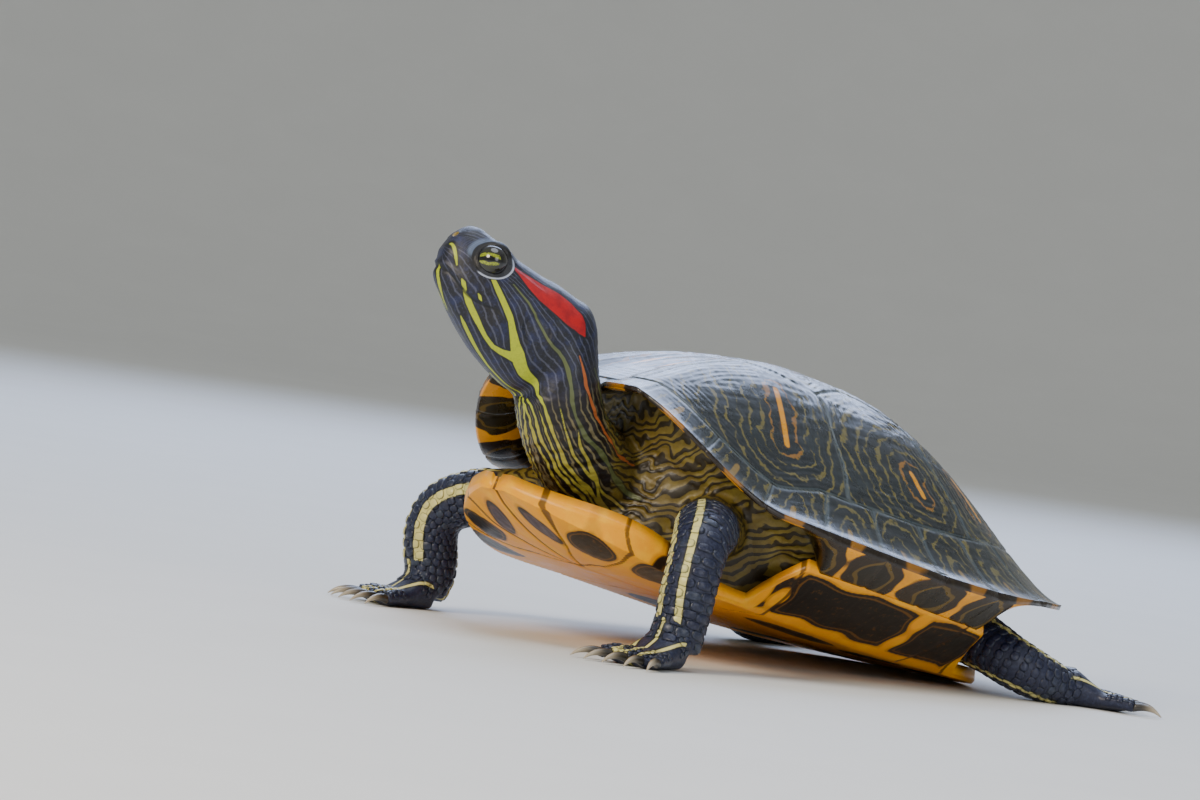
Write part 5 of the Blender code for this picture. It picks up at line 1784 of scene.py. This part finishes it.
class SLIDER_OT_skin(bpy.types.Operator):
    """Builds one unbroken skin over head, neck, limbs and tail, with lids, jaw and folds"""

    bl_idname = "slider.skin"
    bl_label = "Skin"

    def execute(self, context):
        skin = flesh_blank()
        # One even surface over all the joined forms.
        apply_modifier(skin, "REMESH", mode="VOXEL", voxel_size=context.scene.slider.voxel)
        smooth_weighted(skin.data, np.ones(len(skin.data.vertices)), 4)
        self.thin_out(skin)
        mesh = skin.data
        self.soften(mesh)
        # Finer faces round the eyes and the nostrils.
        spots = np.array([*EYES.values(), *nostril_aims()])
        reach = np.array((7.0, 7.0, 2.0, 2.0))
        refine(mesh, lambda centres: (np.linalg.norm(centres[:, None] - spots, axis=2) < reach).any(1))
        points = shape_head(shape_lids(to_shell(coords(mesh))))
        fields = markings(points)
        # Folds of the loose skin and fine wrinkles of the neck, cut along the surface's own normals.
        way = pitched(vectors(mesh.vertex_normals, "vector"), -1)
        loose = np.maximum(fields["neck"], fields["fan"])
        fold = FOLD_DEPTH * np.sin(fields["fold"] * 2 * math.pi) * fields["fan"]
        fold += FOLD_DEPTH * ripple(points * (1, 1, 1.6), 4.2, 1.0) * fields["neck"] * (1 - fields["fan"])
        fold += WRINKLE_DEPTH * ripple(points, 1.5, 2.0) * loose
        points = points - way * (LOOSE_INSET * loose - fold)[:, None]
        set_coords(mesh, lifted(points, SKIN_LIFT))
        put(mesh, **fields)
        self.unwrap(mesh, points)
        only(skin)
        bpy.ops.object.shade_smooth()
        skin.vertex_groups.clear()
        finish_piece(skin, skin_material(context.scene.slider), FLESH)
        return {"FINISHED"}

    def thin_out(self, skin):
        """Takes faces from the trunk, which the shell hides, and adds some to the head and neck."""
        points = to_shell(coords(skin.data))
        hidden = (points[:, 1] > -46) & (points[:, 1] < 62) & (np.abs(points[:, 0]) < 44)
        group = skin.vertex_groups.new(name="spare")
        group.add(np.nonzero(hidden)[0].tolist(), 1.0, "REPLACE")
        kept = 1.0 - 0.93 * hidden.mean()
        apply_modifier(skin, "DECIMATE", ratio=kept, vertex_group="spare", vertex_group_factor=1000.0)

        def on_neck(centres):
            along, _, _, share = HEAD.locate(centres).T
            return (along > -47) & (share < 1.35) & (centres[:, 1] < -50)

        refine(skin.data, on_neck)

    def soften(self, mesh):
        """Evens out the bend from neck to head, less on its crown, then the neck and the snout."""
        u, s, v = in_head(to_shell(coords(mesh)))
        near = (np.abs(s) < 16) * (np.abs(v) < 24)
        bend = smooth(-24, -14, u) * (1 - smooth(6, 14, u)) * near * (1 - 0.6 * smooth(-2, 5, v))
        smooth_weighted(mesh, np.maximum(bend, 0.6 * smooth(-40, -30, u) * (np.abs(s) < 18)), 24)
        smooth_weighted(mesh, bend, 30)
        smooth_weighted(mesh, smooth(37, 40.5, u) * near, 12)

    def unwrap(self, mesh, points):
        """Each part of the flesh opened along its under line into its own island."""
        region = region_of(points)[0]
        corner = whole_numbers(mesh.loops, "vertex_index")
        starts = whole_numbers(mesh.polygons, "loop_start")
        face_of = np.repeat(np.arange(len(starts)), whole_numbers(mesh.polygons, "loop_total"))
        part = region[corner[starts]][face_of]
        spot = np.zeros((len(corner), 4))
        for name, chart in CHARTS.items():
            mine = part == PART[name]
            spot[mine] = chart.locate(points[corner[mine]])
        # No face is torn where the angle jumps by a full turn.
        jump = spot[:, 1] - spot[starts, 1][face_of]
        spot[:, 1] -= 2 * math.pi * np.sign(jump) * (np.abs(jump) > math.pi)
        set_uv(mesh, unwrapped(part, spot))


class SLIDER_OT_scales(bpy.types.Operator):
    """Lays the scales of legs, feet and tail over the skin"""

    bl_idname = "slider.scales"
    bl_label = "Scales"

    def execute(self, context):
        skin = bpy.data.objects["skin"].data
        tree = BVHTree.FromPolygons(to_shell(coords(skin)).tolist(), [list(p.vertices) for p in skin.polygons])
        material = skin_material(context.scene.slider, "scale_keratin", scaly=True)
        for name, roots in coat_plan().items():
            finish_piece(lay_scales(name, tree, roots), material)
        return {"FINISHED"}


class SLIDER_OT_eyes(bpy.types.Operator):
    """Builds both eyeballs, each with a clear bulge over a barred iris"""

    bl_idname = "slider.eyes"
    bl_label = "Eyes"

    def execute(self, context):
        material = eye_material()
        theta = np.radians(np.concatenate([np.linspace(2, 70, 40), np.linspace(75, 176, 16)]))
        phi = 2 * math.pi * np.arange(EYE_SIDES) / EYE_SIDES
        th, ph = (grid.ravel() for grid in np.meshgrid(theta, phi, indexing="ij"))
        # The cornea bulges a little over the front of the ball.
        ball = EYE_RADIUS - CORNEA_BULGE
        r = ball + CORNEA_BULGE * np.exp(-((np.degrees(th) / 30) ** 2))
        for tag, centre in EYES.items():
            out, rear, up = eye_frame(tag)
            points = centre + np.outer(r * np.cos(th), out)
            points += np.outer(r * np.sin(th) * np.cos(ph), rear)
            points += np.outer(r * np.sin(th) * np.sin(ph), up)
            points = np.vstack([points, centre + out * EYE_RADIUS, centre - out * ball])
            obj = new_piece(f"eyeball_{tag}", points, capped_faces(len(theta), EYE_SIDES))
            d = to_shell(coords(obj.data)) - centre
            # The animal keeps its irises level with the ground as it lifts its head, and looks ahead and down.
            gaze = unit(out - rear * 0.26 - up * 0.31)
            level = np.array((0.0, -math.sin(BODY_PITCH), math.cos(BODY_PITCH)))
            level = unit(level - gaze * (level @ gaze))
            across, high = d @ np.cross(level, gaze), d @ level
            reach = np.hypot(across, high) + np.where(d @ gaze < 0, 4.0, 0.0)
            put(obj.data, high=np.abs(high + 0.12 * across**2 / 4), oval=np.hypot(across * 0.45, high), reach=reach)
            finish_piece(obj, material, (f"eye_{tag}",))
        return {"FINISHED"}


class SLIDER_OT_claws(bpy.types.Operator):
    """Builds the curved claws of each foot"""

    bl_idname = "slider.claws"
    bl_label = "Claws"

    def execute(self, context):
        material = claw_material()
        for name, foot in FEET.items():
            points, faces, tips = [], [], []
            for rings in foot_plan(*foot)[2]:
                rows = tidy_rings(through(rings, 2))
                verts, sides = loft(rows, CLAW_SIDES)
                faces += [[len(points) + k for k in face] for face in sides]
                points += verts.tolist()
                tips += np.repeat(np.linspace(0, 1, len(rows)), CLAW_SIDES).tolist() + [0, 1]
            points = np.array(points)
            obj = new_piece(f"{name}_claws", points, faces)
            tree = tree_of(to_world(points))
            put(obj.data, tip=[tips[tree.find(p)[1]] for p in coords(obj.data)])
            finish_piece(obj, material, [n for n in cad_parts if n.startswith(f"{name}_claw_")])
        return {"FINISHED"}


class SLIDER_OT_stage(bpy.types.Operator):
    """Builds the pale floor with its cove, the soft lights and the camera"""

    bl_idname = "slider.stage"
    bl_label = "Stage"

    def execute(self, context):
        # A round floor that runs up into a cove and a wall.
        profile = [(0.6, 0.0), (1.4, 0.0), (COVE_START, 0.0)]
        for a in np.linspace(0.1, math.pi / 2, 14):
            profile.append((COVE_START + COVE_RADIUS * math.sin(a), COVE_RADIUS * (1 - math.cos(a))))
        profile.append((COVE_START + COVE_RADIUS, COVE_TOP))
        turns = 2 * math.pi * np.arange(FLOOR_SIDES) / FLOOR_SIDES
        verts = np.array([(r * math.cos(a), r * math.sin(a), z) for r, z in profile for a in turns])
        faces = grid_faces(len(profile), FLOOR_SIDES).tolist() + [list(range(FLOOR_SIDES))]
        floor = exact_piece("studio_floor", verts, faces, inside=True)
        wear_material(floor, floor_material())
        self.light(context.scene)
        camera = bpy.data.objects.new("camera", bpy.data.cameras.new("camera"))
        context.scene.collection.objects.link(camera)
        place = Matrix.Translation((CAMERA_AT[0] + SHIFT[0] * MM, CAMERA_AT[1] + SHIFT[1] * MM, CAMERA_AT[2]))
        camera.matrix_world = place @ Matrix(CAMERA_AXES).transposed().to_4x4()
        camera.data.lens = CAMERA_LENS
        camera.data.sensor_width = 36.0
        camera.data.clip_start = 0.05
        context.scene.camera = camera
        return {"FINISHED"}

    def light(self, scene):
        world = bpy.data.worlds.new("studio")
        scene.world = world
        world.use_nodes = True
        sky = world.node_tree.nodes["Background"].inputs
        sky["Color"].default_value = linear("#e9edf0")
        sky["Strength"].default_value = 0.55
        for name, at, aim, width, share, tint in SOFT_BOXES:
            light = bpy.data.lights.new(name, "AREA")
            light.shape = "DISK"
            light.size = width
            light.energy = scene.slider.lamp * share
            light.color = linear(tint)[:3]
            holder = bpy.data.objects.new(name, light)
            holder.location = at
            holder.rotation_euler = (Vector(aim) - Vector(at)).to_track_quat("-Z", "Y").to_euler()
            scene.collection.objects.link(holder)


class SLIDER_PT_panel(bpy.types.Panel):
    bl_label = "Red-eared Slider"
    bl_idname = "SLIDER_PT_panel"
    bl_space_type = "VIEW_3D"
    bl_region_type = "UI"
    bl_category = "Slider"

    def draw(self, context):
        for key in SliderSizes.__annotations__:
            self.layout.prop(context.scene.slider, key)
        for step in STEPS:
            self.layout.operator(step.bl_idname)


STEPS = (
    SLIDER_OT_stage, SLIDER_OT_carapace, SLIDER_OT_plastron, SLIDER_OT_skin, SLIDER_OT_scales, SLIDER_OT_eyes,
    SLIDER_OT_claws,
)
CLASSES = (SliderSizes, *STEPS, SLIDER_PT_panel)


def register():
    for kind in CLASSES:
        bpy.utils.register_class(kind)
    bpy.types.Scene.slider = bpy.props.PointerProperty(type=SliderSizes)


def unregister():
    del bpy.types.Scene.slider
    for kind in reversed(CLASSES):
        bpy.utils.unregister_class(kind)


def main():
    register()
    ops = bpy.ops.slider
    for step in (ops.stage, ops.carapace, ops.plastron, ops.skin, ops.scales, ops.eyes, ops.claws):
        step()


if __name__ == "__main__":
    main()
